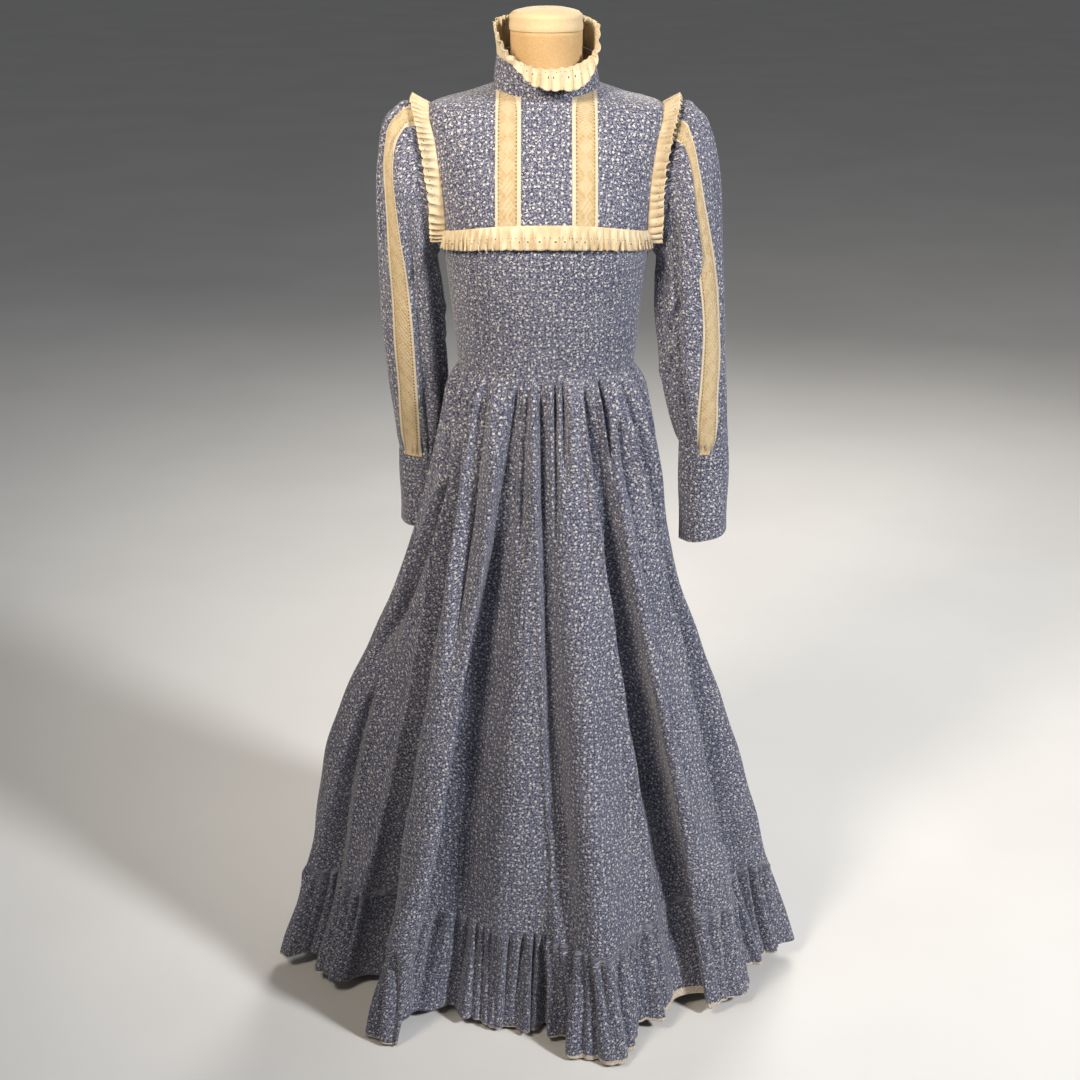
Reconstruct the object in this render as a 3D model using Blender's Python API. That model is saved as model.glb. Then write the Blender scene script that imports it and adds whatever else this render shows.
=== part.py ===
"""A long-sleeved, high-necked prairie dress on a limbless dress form.

Metres, +Z up. The front faces -Y, and left and right are as seen from the front, left being at
-X. The origin is the middle of the underside of the stand's base, on the floor. Each cut piece
of cloth is a thin wall of its own, with a hair's gap at every seam.
"""
import math

import bmesh
import bpy
import numpy as np
from mathutils import Vector

# ---- Driving dimensions -------------------------------------------------------------------
WALL = 0.0016            # printed cotton, with its seams and turnings
LACE_WALL = 0.0012       # lace and eyelet edging
SEAM_GAP = 0.0003        # between two pieces that are sewn edge to edge
LAP = 0.0022             # from the middle of one layer to the middle of the layer that lies on it

INSERT_INNER = 0.035     # the yoke's lace insertions, measured out from the centre front
INSERT_OUTER = 0.0705
SLEEVE_INSERT = 0.034    # width of the lace down each sleeve
FRILL_DEPTH = 0.028      # gathered edging along the yoke's lower seam
FRILL_SPREAD = 0.0035    # how much further out a yoke frill's free edge lies than its sewn one
FRILL_RIPPLE = 0.0022    # height of its gathers at the free edge
COLLAR_RIPPLE = 0.0040   # height of the collar frill's gathers at its free edge
FLOUNCE_SEAM = 0.836     # how far down the skirt the flounce is sewn on, as a share of its drop
FLOUNCE_KICK = 0.012     # how far the flounce stands out at the hem
PLACKET_HALF = 0.012
BUTTON_RADIUS = 0.0055
BUTTON_THICKNESS = 0.0028
BUTTON_COUNT = 8

TORSO_BOTTOM = 0.800
POLE_RADIUS = 0.0135
BASE_RADIUS = 0.140
BASE_THICKNESS = 0.014
BASE_EDGE_HEIGHT = 0.004
BASE_EDGE_WIDTH = 0.006

# ---- The bodice: level rings from the waist to the neck -----------------------------------
# The depths are measured from the ring's middle, and power is its squareness (2 is an ellipse).
BODY_COLUMNS = ("name", "z_front", "z_side", "z_back", "half_width", "front", "back", "middle", "power")
BODY = (
    ("waist", 1.070, 1.070, 1.070, 0.129, 0.098, 0.098, 0.000, 2.1),
    ("ribs", 1.130, 1.130, 1.130, 0.135, 0.111, 0.100, 0.000, 2.15),
    ("under_bust", 1.188, 1.186, 1.188, 0.141, 0.127, 0.104, 0.000, 2.2),
    ("armpit", 1.244, 1.238, 1.244, 0.147, 0.137, 0.110, 0.000, 2.3),
    ("yoke_seam", 1.298, 1.274, 1.300, 0.152, 0.134, 0.116, 0.000, 2.5),
    ("chest", 1.350, 1.332, 1.352, 0.159, 0.117, 0.118, 0.000, 2.6),
    ("upper_chest", 1.400, 1.392, 1.406, 0.167, 0.094, 0.108, 0.004, 2.6),
    ("shoulder", 1.430, 1.440, 1.444, 0.168, 0.080, 0.092, 0.008, 2.5),
    ("mid_shoulder", 1.445, 1.456, 1.465, 0.121, 0.074, 0.080, 0.010, 2.2),
    ("neck", 1.457, 1.468, 1.482, 0.075, 0.066, 0.066, 0.012, 2.0),
)
ARMPIT, YOKE_SEAM, SHOULDER, NECK = 3, 4, 7, 9
YOKE_LEVELS = (4.7, 5.5, 6.3, 6.9, 7.5, 8.2)
ARMHOLE_CUT = 0.07       # how far the armhole is cut in past the side, as a share of the width

# ---- The collar: band and frill, in the same kind of rings --------------------------------
COLLAR = (
    ("band_foot", 1.4586, 1.4697, 1.4837, 0.0742, 0.0655, 0.0655, 0.012, 2.0),
    ("band_top", 1.492, 1.512, 1.524, 0.0695, 0.062, 0.063, 0.009, 2.0),
    ("frill_roll", 1.499, 1.535, 1.545, 0.0695, 0.070, 0.067, 0.007, 2.0),
    ("frill_edge", 1.480, 1.553, 1.561, 0.0700, 0.084, 0.071, 0.005, 2.0),
)

# ---- The sleeves: oblique rings, each given by its outer and inner point ------------------
# depth is half the ring's size front to back, and lace the angle of the insertion's middle,
# from 0 at the outer point to 90 at the front. rear is how much lower the ring hangs behind.
SLEEVE_COLUMNS = ("name", "outer_x", "outer_z", "inner_x", "inner_z", "middle", "depth", "lace", "rear")
SLEEVES = {
    "left": (
        ("head", 0.202, 1.446, 0.152, 1.239, 0.000, 0.066, 30, 0.0),
        ("crown", 0.226, 1.424, 0.157, 1.231, 0.000, 0.072, 42, 0.0),
        ("upper", 0.237, 1.375, 0.157, 1.220, 0.001, 0.073, 56, 0.0),
        ("biceps", 0.242, 1.280, 0.152, 1.190, 0.006, 0.069, 68, 0.0),
        ("above_elbow", 0.242, 1.180, 0.149, 1.140, 0.016, 0.062, 72, 0.0),
        ("elbow", 0.240, 1.100, 0.149, 1.080, 0.030, 0.057, 72, 0.0),
        ("forearm", 0.236, 1.020, 0.149, 1.010, 0.050, 0.052, 70, 0.0),
        ("gathers", 0.231, 0.945, 0.150, 0.942, 0.070, 0.047, 66, 0.0),
        ("cuff_seam", 0.227, 0.910, 0.152, 0.908, 0.079, 0.042, 64, 0.0),
        ("cuff_middle", 0.229, 0.850, 0.153, 0.846, 0.094, 0.041, 64, 0.005),
        ("cuff_end", 0.230, 0.785, 0.154, 0.778, 0.110, 0.041, 64, 0.012),
    ),
    "right": (
        ("head", 0.201, 1.446, 0.152, 1.239, 0.000, 0.066, 50, 0.0),
        ("crown", 0.225, 1.424, 0.158, 1.231, 0.000, 0.072, 68, 0.0),
        ("upper", 0.242, 1.375, 0.160, 1.220, 0.000, 0.073, 75, 0.0),
        ("biceps", 0.252, 1.280, 0.159, 1.190, 0.000, 0.069, 67, 0.0),
        ("above_elbow", 0.259, 1.180, 0.162, 1.140, 0.000, 0.062, 57, 0.0),
        ("elbow", 0.264, 1.100, 0.169, 1.080, 0.001, 0.057, 59, 0.0),
        ("forearm", 0.269, 1.020, 0.181, 1.010, 0.004, 0.052, 71, 0.0),
        ("gathers", 0.274, 0.962, 0.196, 0.958, 0.008, 0.047, 84, 0.0),
        ("cuff_seam", 0.275, 0.936, 0.201, 0.934, 0.010, 0.043, 92, 0.0),
        ("cuff_middle", 0.278, 0.870, 0.204, 0.864, 0.012, 0.042, 92, 0.010),
        ("cuff_end", 0.278, 0.802, 0.206, 0.788, 0.014, 0.041, 92, 0.028),
    ),
}
CUFF_SEAM = 9            # ring numbers, the armhole being ring 0
CUFF_END = 11
SLEEVE_RINGS = (0.0, 0.5, 1.0, 2.0, 3.3, 5.0, 7.0, 8.2)
LACE_TAPER_RING = 8      # below it the right sleeve's lace narrows to this share
LACE_TAPER = 0.4
HEAD_FRILL_ANGLES = (-4.0, 112.0)
HEAD_FRILL_RINGS = (0.02, 0.64)
HEAD_FRILL_SPREAD = 0.0032
HEAD_FRILL_RIPPLE = 0.0020

# ---- The skirt: where each fold leaves the waist and where it meets the hem ---------------
# waist_angle is from the centre front, positive towards +X. Ridges and valleys alternate.
SKIRT_FOLDS = (          # name, waist_angle, hem_x, hem_y, hem_z
    ("back_ridge_a", -171, -0.080, 0.312, 0.008),
    ("back_valley_a", -159, -0.150, 0.250, 0.012),
    ("back_ridge_b", -147, -0.240, 0.282, 0.008),
    ("back_valley_b", -135, -0.300, 0.200, 0.014),
    ("left_rear_ridge", -121, -0.388, 0.190, 0.010),
    ("left_rear_valley", -108, -0.392, 0.112, 0.020),
    ("left_lobe", -93, -0.436, 0.030, 0.026),
    ("left_front_valley", -75, -0.372, -0.018, 0.030),
    ("left_shoulder_ridge", -65, -0.342, -0.050, 0.026),
    ("left_deep_valley", -56, -0.300, -0.070, 0.020),
    ("left_front_ridge", -38, -0.246, -0.205, 0.007),
    ("left_centre_valley", -20, -0.172, -0.160, 0.018),
    ("centre_panel_left", -9, -0.085, -0.172, 0.010),
    ("centre_valley", 5, 0.004, -0.160, 0.012),
    ("right_front_ridge", 16, 0.098, -0.238, 0.007),
    ("right_deep_valley", 29, 0.204, -0.118, 0.026),
    ("right_ridge", 44, 0.276, -0.140, 0.018),
    ("right_side_valley", 62, 0.346, -0.030, 0.030),
    ("right_lobe", 88, 0.414, 0.050, 0.034),
    ("right_rear_valley", 104, 0.384, 0.118, 0.022),
    ("right_rear_ridge", 118, 0.372, 0.200, 0.010),
    ("back_valley_c", 131, 0.296, 0.196, 0.014),
    ("back_ridge_c", 144, 0.246, 0.286, 0.008),
    ("back_valley_d", 156, 0.158, 0.252, 0.012),
    ("back_ridge_d", 167, 0.086, 0.315, 0.008),
    ("back_centre_valley", 178, 0.012, 0.266, 0.012),
)
# Soft dents that the hanging sleeves leave in the skirt, and a lobe that swells out (below 0).
SKIRT_DENTS = (          # name, angle, angle_width, drop, drop_width, depth
    ("left_arm", -116, 24, 0.215, 0.17, 0.036),
    ("right_arm", 95, 34, 0.320, 0.17, 0.026),
    ("left_lobe", -99, 20, 0.610, 0.18, -0.038),
)
SKIRT_DROPS = (0.0003, 0.06, 0.15, 0.28, 0.45, 0.64)
FOLD_START = 0.07        # the drop by which the dents and gathers have their whole depth
GATHER_END = 0.55        # the drop at which the gathers have died away
SIDE_GAP_TOP = 0.13      # half the gap at the side seams, in degrees, at the waist and the hem
SIDE_GAP_HEM = 0.05
GATHERS = 44             # soft gathers round the waist, large enough to model here
GATHER_HEIGHT = 0.0045
PLEATS = 88              # gathers round the flounce
PLEAT_HEIGHT = 0.0065

# ---- The dress form below the waist and above the shoulders -------------------------------
FORM_HIPS = (            # z, half width, front, back
    (0.800, 0.132, 0.093, 0.102),
    (0.830, 0.138, 0.097, 0.107),
    (0.890, 0.138, 0.097, 0.106),
    (0.960, 0.128, 0.092, 0.097),
    (1.020, 0.119, 0.088, 0.089),
)
FORM_NECK = (            # z, radius, middle
    (1.4650, 0.0630, 0.014),
    (1.4760, 0.0555, 0.013),
    (1.5100, 0.0510, 0.011),
    (1.5450, 0.0505, 0.008),
)
FORM_EASE = 0.0050       # between the form and the bodice, away from the shoulders
FORM_SEAT = 0.0014       # from the middle of the cloth to the form at the tops of the shoulders
CAP_WALL = 0.006         # height of the cap's upright edge
CAP_TOP = 1.578


def through(places, values, place):
    """A smooth curve through a row of values, read at one place."""
    i = int(np.clip(np.searchsorted(places, place) - 1, 0, len(places) - 2))
    lo, hi = max(i - 1, 0), min(i + 2, len(places) - 1)
    span = places[i + 1] - places[i]
    slope_a = (values[i + 1] - values[lo]) / (places[i + 1] - places[lo])
    slope_b = (values[hi] - values[i]) / (places[hi] - places[i])
    t = (place - places[i]) / span
    return ((2 * t**3 - 3 * t**2 + 1) * values[i] + (t**3 - 2 * t**2 + t) * span * slope_a
            + (3 * t**2 - 2 * t**3) * values[i + 1] + (t**3 - t**2) * span * slope_b)


def read_rings(table, columns, place):
    """Every column of a table of rings, read between its rows."""
    rows = np.array([row[1:] for row in table], dtype=float)
    places = np.arange(len(table))
    return {name: through(places, rows[:, k], place) for k, name in enumerate(columns[1:])}


def signed_power(value, power):
    return math.copysign(abs(value) ** power, value)


def ring_point(ring, angle):
    """A point of a level ring, angle in degrees from the front, positive towards +X."""
    s, c = math.sin(math.radians(angle)), math.cos(math.radians(angle))
    round_power = 2 / ring["power"]
    depth = ring["front"] if c > 0 else ring["back"]
    rise = (ring["z_front"] if c > 0 else ring["z_back"]) - ring["z_side"]
    return Vector((ring["half_width"] * signed_power(s, round_power),
                   ring["middle"] - depth * signed_power(c, round_power),
                   ring["z_side"] + rise * c * c))


def body(angle, level):
    return ring_point(read_rings(BODY, BODY_COLUMNS, level), angle)


def collar(angle, level):
    return ring_point(read_rings(COLLAR, BODY_COLUMNS, level), angle)


def outward(surface, u, v, du=0.5, dv=0.02):
    """The outward normal of a surface that runs anticlockwise, seen from above, with u."""
    across = surface(u + du, v) - surface(u - du, v)
    along = surface(u, v + dv) - surface(u, v - dv)
    return across.cross(along).normalized()


def angle_at(x, level):
    """The angle at which a ring of the bodice reaches a given distance from the centre."""
    ring = read_rings(BODY, BODY_COLUMNS, level)
    share = min(abs(x) / ring["half_width"], 1.0) ** (ring["power"] / 2)
    return math.copysign(math.degrees(math.asin(share)), x)


def armhole_angle(level):
    """The edge of the bodice's front at a level: side seam, armhole, then shoulder seam."""
    if level <= ARMPIT or level >= SHOULDER:
        return 90.0
    bow = math.sqrt(math.sin(math.pi * (level - ARMPIT) / (SHOULDER - ARMPIT)))
    ring = read_rings(BODY, BODY_COLUMNS, level)
    return math.degrees(math.asin((1 - ARMHOLE_CUT * bow) ** (ring["power"] / 2)))


def sleeve(side, angle, ring):
    """A point of a sleeve: ring 0 is the armhole, 0 degrees is the outer line, 90 the front."""
    sign = -1 if side == "left" else 1
    a = math.radians(angle)

    def oblique(row):
        half = Vector(((row["outer_x"] - row["inner_x"]) / 2, 0, (row["outer_z"] - row["inner_z"]) / 2))
        centre = Vector(((row["outer_x"] + row["inner_x"]) / 2, row["middle"],
                         (row["outer_z"] + row["inner_z"]) / 2))
        point = centre + half * math.cos(a) - Vector((0, row["depth"] * math.sin(a), 0))
        point.z -= row["rear"] * max(0.0, -math.sin(a))
        return Vector((sign * point.x, point.y, point.z))

    if ring >= 1:
        return oblique(read_rings(SLEEVES[side], SLEEVE_COLUMNS, ring - 1))
    level = (ARMPIT + SHOULDER) / 2 + (SHOULDER - ARMPIT) / 2 * math.cos(a)
    edge = armhole_angle(level)
    around = sign * (edge if math.sin(a) >= 0 else 180 - edge)
    root = body(around, level) + outward(body, around, level) * LAP
    return root.lerp(oblique(read_rings(SLEEVES[side], SLEEVE_COLUMNS, 0)), ring)


def fold_foot(angle):
    """Where the cloth at one angle of the waist reaches the hem."""
    rows = np.array([row[1:] for row in SKIRT_FOLDS], dtype=float)
    turn = np.array([360.0, 0, 0, 0])
    rows = np.vstack([rows[-3:] - turn, rows, rows[:3] + turn])
    return Vector([through(rows[:, 0], rows[:, k], angle) for k in (1, 2, 3)])


def skirt_line(angle, drop):
    top = body(angle, 0)
    return top.lerp(fold_foot(angle), drop)


def skirt(angle, drop):
    """A point of the skirt: drop is 0 at the waist seam and 1 at the hem."""
    angle = (angle + 180) % 360 - 180
    point = skirt_line(angle, drop)
    along = skirt_line(angle + 1, drop) - skirt_line(angle - 1, drop)
    out = Vector((-along.y, along.x, 0)).normalized() * -1
    start = min(drop / FOLD_START, 1.0)
    for _, middle, width, depth_at, depth_width, depth in SKIRT_DENTS:
        across = (angle - middle) / width
        down = (drop - depth_at) / depth_width
        point -= out * start * depth * math.exp(-across * across - down * down)
    fade = max(0.0, 1 - drop / GATHER_END)
    point += out * GATHER_HEIGHT * start * fade * math.sin(math.radians(GATHERS * angle))
    return point


def flounce(angle, share):
    """A point of the flounce: share is 0 at its seam and 1 at the hem."""
    drop = FLOUNCE_SEAM + (1 - FLOUNCE_SEAM) * share
    point = skirt(angle, drop)
    along = skirt(angle + 1, drop) - skirt(angle - 1, drop)
    out = Vector((along.y, -along.x, 0)).normalized()
    ripple = PLEAT_HEIGHT * (0.25 + 0.75 * share) * math.sin(math.radians(PLEATS * angle))
    return point + out * (ripple + FLOUNCE_KICK * math.sin(math.pi / 2 * share))


def spread(start, stop, count):
    return [start + (stop - start) * k / count for k in range(count + 1)]


def crests(start, stop, count):
    """Both edges of a gathered panel, and every crest and dip of its gathers between them."""
    step = (stop - start) / count
    return [start] + [start + step * (k + 0.5) for k in range(count)] + [stop]


# ---- Materials and objects ----------------------------------------------------------------
def material(name, colour, roughness, metallic=0.0):
    made = bpy.data.materials.new(name)
    made.use_nodes = True
    shader = made.node_tree.nodes["Principled BSDF"]
    shader.inputs["Base Color"].default_value = (*colour, 1)
    shader.inputs["Roughness"].default_value = roughness
    shader.inputs["Metallic"].default_value = metallic
    return made


def finish(name, bm, surface_material):
    mesh = bpy.data.meshes.new(name)
    bm.to_mesh(mesh)
    bm.free()
    mesh.shade_smooth()
    mesh.set_sharp_from_angle(angle=math.radians(40))
    made = bpy.data.objects.new(name, mesh)
    made.data.materials.append(surface_material)
    bpy.context.scene.collection.objects.link(made)
    return made


def cloth(name, rows, surface_material, wall=WALL):
    """A wall of cloth on a grid of points, half its thickness to each side of them."""
    bm = bmesh.new()
    grid = [[bm.verts.new(point) for point in row] for row in rows]
    for lower, upper in zip(grid, grid[1:]):
        for k in range(len(lower) - 1):
            bm.faces.new((lower[k], lower[k + 1], upper[k + 1], upper[k]))
    made = finish(name, bm, surface_material)
    thicken = made.modifiers.new("wall", "SOLIDIFY")
    thicken.thickness = wall
    thicken.offset = 0
    return made


def loft(name, rings, surface_material):
    """A closed solid through rings of equal counts, with flat ends."""
    bm = bmesh.new()
    loops = [[bm.verts.new(point) for point in ring] for ring in rings]
    count = len(loops[0])
    for lower, upper in zip(loops, loops[1:]):
        for k in range(count):
            n = (k + 1) % count
            bm.faces.new((lower[k], lower[n], upper[n], upper[k]))
    bm.faces.new(list(reversed(loops[0])))
    bm.faces.new(loops[-1])
    return finish(name, bm, surface_material)


def turned(name, profile, surface_material, segments=32, middle=(0.0, 0.0)):
    """A round solid about an upright axis, from its profile of radius and height."""
    rings = []
    for radius, height in profile:
        turn = [2 * math.pi * k / segments for k in range(segments)]
        rings.append([Vector((middle[0] + radius * math.cos(t), middle[1] + radius * math.sin(t), height))
                      for t in turn])
    return loft(name, rings, surface_material)


# ---- The dress form -----------------------------------------------------------------------
def build_form(linen, metal):
    count = 32
    angles = [360 * k / count for k in range(count)]
    rings = []
    for z, half_width, front, back in FORM_HIPS:
        ring = dict(z_front=z, z_side=z, z_back=z, half_width=half_width, front=front, back=back,
                    middle=0.0, power=2.1)
        rings.append([ring_point(ring, a) for a in angles])
    for level in (0, 0.8, 1.6, 2.4, 3.2, YOKE_SEAM, *YOKE_LEVELS, NECK - 0.4):
        ring = []
        for a in angles:
            on_top = max(0.0, min(1.0, (level - 7.2) / 0.9)) * abs(math.sin(math.radians(a))) ** 20
            inset = FORM_SEAT * on_top + FORM_EASE * (1 - on_top)
            ring.append(body(a, level) - outward(body, a, max(level, 0.02)) * inset)
        rings.append(ring)
    for z, radius, middle in FORM_NECK:
        rings.append([Vector((radius * math.sin(math.radians(a)),
                              middle - radius * math.cos(math.radians(a)), z)) for a in angles])
    loft("form_torso", rings, linen)

    top_z, top_radius, top_middle = FORM_NECK[-1]
    foot = top_z + SEAM_GAP
    dome = [(top_radius, foot), (top_radius, foot + CAP_WALL)]
    for step in (20, 40, 60, 80):
        rise = math.radians(step)
        height = foot + CAP_WALL + (CAP_TOP - foot - CAP_WALL) * math.sin(rise)
        dome.append((top_radius * math.cos(rise), height))
    turned("form_neck_cap", dome, linen, middle=(0.0, top_middle))

    turned("stand_pole", [(POLE_RADIUS, BASE_THICKNESS + SEAM_GAP), (POLE_RADIUS, TORSO_BOTTOM - SEAM_GAP)],
           metal, segments=20)
    turned("stand_base", [(BASE_RADIUS, 0.0), (BASE_RADIUS, BASE_THICKNESS - BASE_EDGE_HEIGHT),
                          (BASE_RADIUS - BASE_EDGE_WIDTH, BASE_THICKNESS)], metal, segments=48)


# ---- The bodice ---------------------------------------------------------------------------
LEVEL_GAP = 0.0035       # half a seam gap, in levels
ANGLE_GAP = 0.07         # half a seam gap, in degrees
FIRST_BUTTON = 0.6       # the levels of the lowest and the highest button
LAST_BUTTON = NECK - 0.35
FRILL_LEVELS_PER_METRE = 1 / 0.054


def panel(name, levels, left_edge, right_edge, columns, surface_material, wall=WALL, lift=0.0):
    """A piece of the bodice between two edges, each an angle at a level."""
    rows = []
    for level in levels:
        row = []
        for angle in spread(left_edge(level), right_edge(level), columns):
            point = body(angle, level)
            if lift:
                point += outward(body, angle, min(level, NECK - 0.03)) * lift
            row.append(point)
        rows.append(row)
    return cloth(name, rows, surface_material, wall)


def build_bodice(cotton, lace, eyelet, shell):
    below_yoke = spread(LEVEL_GAP, YOKE_SEAM - LEVEL_GAP, 5)
    yoke = [YOKE_SEAM + LEVEL_GAP, *YOKE_LEVELS, NECK - LEVEL_GAP]
    half_gap = SEAM_GAP / 2

    panel("midriff_front", below_yoke, lambda v: ANGLE_GAP - armhole_angle(v),
          lambda v: armhole_angle(v) - ANGLE_GAP, 14, cotton)
    panel("yoke_front_centre", yoke, lambda v: angle_at(half_gap - INSERT_INNER, v),
          lambda v: angle_at(INSERT_INNER - half_gap, v), 4, cotton)
    panel("yoke_lace_left", yoke, lambda v: angle_at(half_gap - INSERT_OUTER, v),
          lambda v: angle_at(-half_gap - INSERT_INNER, v), 2, lace, LACE_WALL)
    panel("yoke_lace_right", yoke, lambda v: angle_at(INSERT_INNER + half_gap, v),
          lambda v: angle_at(INSERT_OUTER - half_gap, v), 2, lace, LACE_WALL)
    panel("yoke_front_left", yoke, lambda v: ANGLE_GAP - armhole_angle(v),
          lambda v: angle_at(-half_gap - INSERT_OUTER, v), 4, cotton)
    panel("yoke_front_right", yoke, lambda v: angle_at(INSERT_OUTER + half_gap, v),
          lambda v: armhole_angle(v) - ANGLE_GAP, 4, cotton)

    back = below_yoke + yoke[1:]
    panel("back_right", back, lambda v: 180 - armhole_angle(v) + ANGLE_GAP,
          lambda v: 180 - ANGLE_GAP, 8, cotton)
    panel("back_left", back, lambda v: -180 + ANGLE_GAP,
          lambda v: armhole_angle(v) - 180 - ANGLE_GAP, 8, cotton)
    panel("back_placket", back, lambda v: 180 - angle_at(PLACKET_HALF, v),
          lambda v: 180 + angle_at(PLACKET_HALF, v), 2, cotton, lift=LAP)

    # Buttons down the placket and on the band, each flat on the cloth under it.
    for k, level in enumerate(spread(FIRST_BUTTON, LAST_BUTTON, BUTTON_COUNT - 1)):
        out = outward(body, 180, level)
        button("back_button_%d" % (k + 1), body(180, level) + out * (LAP + WALL / 2 + SEAM_GAP), out, shell)
    out = outward(collar, 180, 0.5)
    button("collar_button", collar(180, 0.5) + out * (WALL / 2 + SEAM_GAP), out, shell)

    build_yoke_frills(eyelet)


def button(name, seat, out, surface_material):
    bm = bmesh.new()
    bmesh.ops.create_cone(bm, cap_ends=True, segments=14, radius1=BUTTON_RADIUS, radius2=BUTTON_RADIUS * 0.9,
                          depth=BUTTON_THICKNESS)
    made = finish(name, bm, surface_material)
    made.location = seat + out * BUTTON_THICKNESS / 2
    made.rotation_euler = out.to_track_quat("Z", "Y").to_euler()


def build_yoke_frills(eyelet):
    """Gathered edging: along the yoke's lower seam, and over each sleeve head at its sides."""
    corner = armhole_angle(YOKE_SEAM) - 1.0
    ripples = 24
    rows = []
    for share in (0.0, 1.0):
        row = []
        for k, angle in enumerate(spread(-corner, corner, 2 * ripples)):
            level = YOKE_SEAM - 0.02 - share * FRILL_DEPTH * FRILL_LEVELS_PER_METRE
            wave = FRILL_RIPPLE * (1 if k % 2 else -1)
            out = outward(body, angle, level)
            row.append(body(angle, level) + out * (LAP + (FRILL_SPREAD + wave) * share))
        rows.append(row)
    cloth("yoke_frill_bottom", list(reversed(rows)), eyelet, LACE_WALL)

    for side in ("left", "right"):
        build_head_frill(side, eyelet)


def build_head_frill(side, eyelet):
    def head(angle, ring):
        return sleeve(side, angle, ring)

    ripples = 18
    turn = -1 if side == "left" else 1
    rows = []
    for share, ring in enumerate(HEAD_FRILL_RINGS):
        row = []
        for k, angle in enumerate(spread(*HEAD_FRILL_ANGLES, 2 * ripples)):
            out = outward(head, angle, max(ring, 0.03)) * turn
            wave = HEAD_FRILL_RIPPLE * (1 if k % 2 else -1)
            row.append(head(angle, ring) + out * (LAP + (HEAD_FRILL_SPREAD + wave) * share))
        rows.append(row)
    cloth("yoke_frill_" + side, rows, eyelet, LACE_WALL)


# ---- The collar ---------------------------------------------------------------------------
def build_collar(cotton, eyelet):
    band = [[collar(a, v) for a in spread(-179.8, 179.8, 26)] for v in (0.0, 0.5, 1.0)]
    cloth("collar_band", band, cotton)
    ripples = 22
    rows = []
    for level in (1.0, 2.0, 3.0):
        row = []
        for k, a in enumerate(spread(-179.8, 179.8, 2 * ripples)):
            wave = COLLAR_RIPPLE * (level - 1) / 2 * (1 if k % 2 else -1)
            point = collar(a, level) + outward(collar, a, min(level, 2.9)) * wave
            row.append(point + Vector((0, 0, 3 * SEAM_GAP)))
        rows.append(row)
    cloth("collar_frill", rows, eyelet, LACE_WALL)


# ---- The sleeves --------------------------------------------------------------------------
LACE_GAP = 0.35          # half a seam gap, in degrees round the sleeve
UNDERARM_GAP = 0.45
CUFF_GAP = 0.008         # half a seam gap, in rings


def insert_half_angle(side, angle, ring):
    """Half the angle that the lace down a sleeve takes up at one ring."""
    per_degree = (sleeve(side, angle + 2, ring) - sleeve(side, angle - 2, ring)).length / 4
    narrowing = LACE_TAPER if side == "right" and ring > LACE_TAPER_RING else 1.0
    return SLEEVE_INSERT / 2 * narrowing / per_degree


def build_sleeve(side, cotton, lace):
    rings = [*SLEEVE_RINGS, CUFF_SEAM - CUFF_GAP]
    lace_column = SLEEVE_COLUMNS.index("lace")
    lace_angles = [row[lace_column] for row in SLEEVES[side]]

    def middle(ring):
        return through(np.arange(len(lace_angles)), lace_angles, max(ring - 1, -0.4))

    def strip(name, edges, columns, surface_material, wall=WALL):
        """A length of the sleeve between two edges, given as angles at a ring."""
        grid = []
        for ring in rings:
            start, stop = edges(middle(ring), insert_half_angle(side, middle(ring), ring))
            grid.append([sleeve(side, a, ring) for a in spread(start, stop, columns)])
        return cloth(name, grid, surface_material, wall)

    strip("sleeve_%s_lace" % side, lambda m, half: (m - half + LACE_GAP, m + half - LACE_GAP), 2,
          lace, LACE_WALL)
    strip("sleeve_%s_front" % side, lambda m, half: (m + half + LACE_GAP, 180 - UNDERARM_GAP), 6, cotton)
    strip("sleeve_%s_back" % side, lambda m, half: (180 + UNDERARM_GAP, 360 + m - half - LACE_GAP), 11,
          cotton)

    cuff = [[sleeve(side, a, ring) for a in spread(181, 539, 18)]
            for ring in (CUFF_SEAM + CUFF_GAP, CUFF_SEAM + 1, CUFF_END)]
    cloth("cuff_" + side, cuff, cotton)


# ---- The skirt and flounce ----------------------------------------------------------------
def build_skirt(cotton):
    drops = [*SKIRT_DROPS, FLOUNCE_SEAM - SKIRT_DROPS[0]]
    shares = [0.002, 1.0]

    def rows(surface, middle, columns, levels, drop_at):
        """Rows of a half skirt, whose side seams keep their gap as the skirt widens."""
        half = [90 - SIDE_GAP_TOP + (SIDE_GAP_TOP - SIDE_GAP_HEM) * drop_at(level) for level in levels]
        return [[surface(a, level) for a in crests(middle - h, middle + h, columns)]
                for level, h in zip(levels, half)]

    for name, middle in (("front", 0), ("back", 180)):
        cloth("skirt_" + name, rows(skirt, middle, GATHERS, drops, lambda d: d), cotton)
        cloth("flounce_" + name, rows(flounce, middle, PLEATS, shares, lambda s: 1.0), cotton)


def main():
    for old in list(bpy.data.objects):
        bpy.data.objects.remove(old, do_unlink=True)
    cotton = material("printed_cotton", (0.045, 0.062, 0.135), 0.85)
    lace = material("cotton_lace", (0.72, 0.58, 0.36), 0.9)
    eyelet = material("eyelet_edging", (0.86, 0.76, 0.56), 0.9)
    linen = material("form_linen", (0.78, 0.66, 0.46), 0.85)
    metal = material("stand_metal", (0.03, 0.03, 0.03), 0.4, 0.6)
    shell = material("button_shell", (0.80, 0.76, 0.66), 0.3)
    build_form(linen, metal)
    build_bodice(cotton, lace, eyelet, shell)
    build_collar(cotton, eyelet)
    for side in ("left", "right"):
        build_sleeve(side, cotton, lace)
    build_skirt(cotton)


main()
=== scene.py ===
"""A long-sleeved, high-necked prairie dress of navy printed cotton, on a limbless dress form.

Metres, +Z up. The front faces -Y, and left and right are as seen from the front, left being at
-X. The sections follow the dress as it is put together, from the form outwards and downwards.
"""
import math

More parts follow.
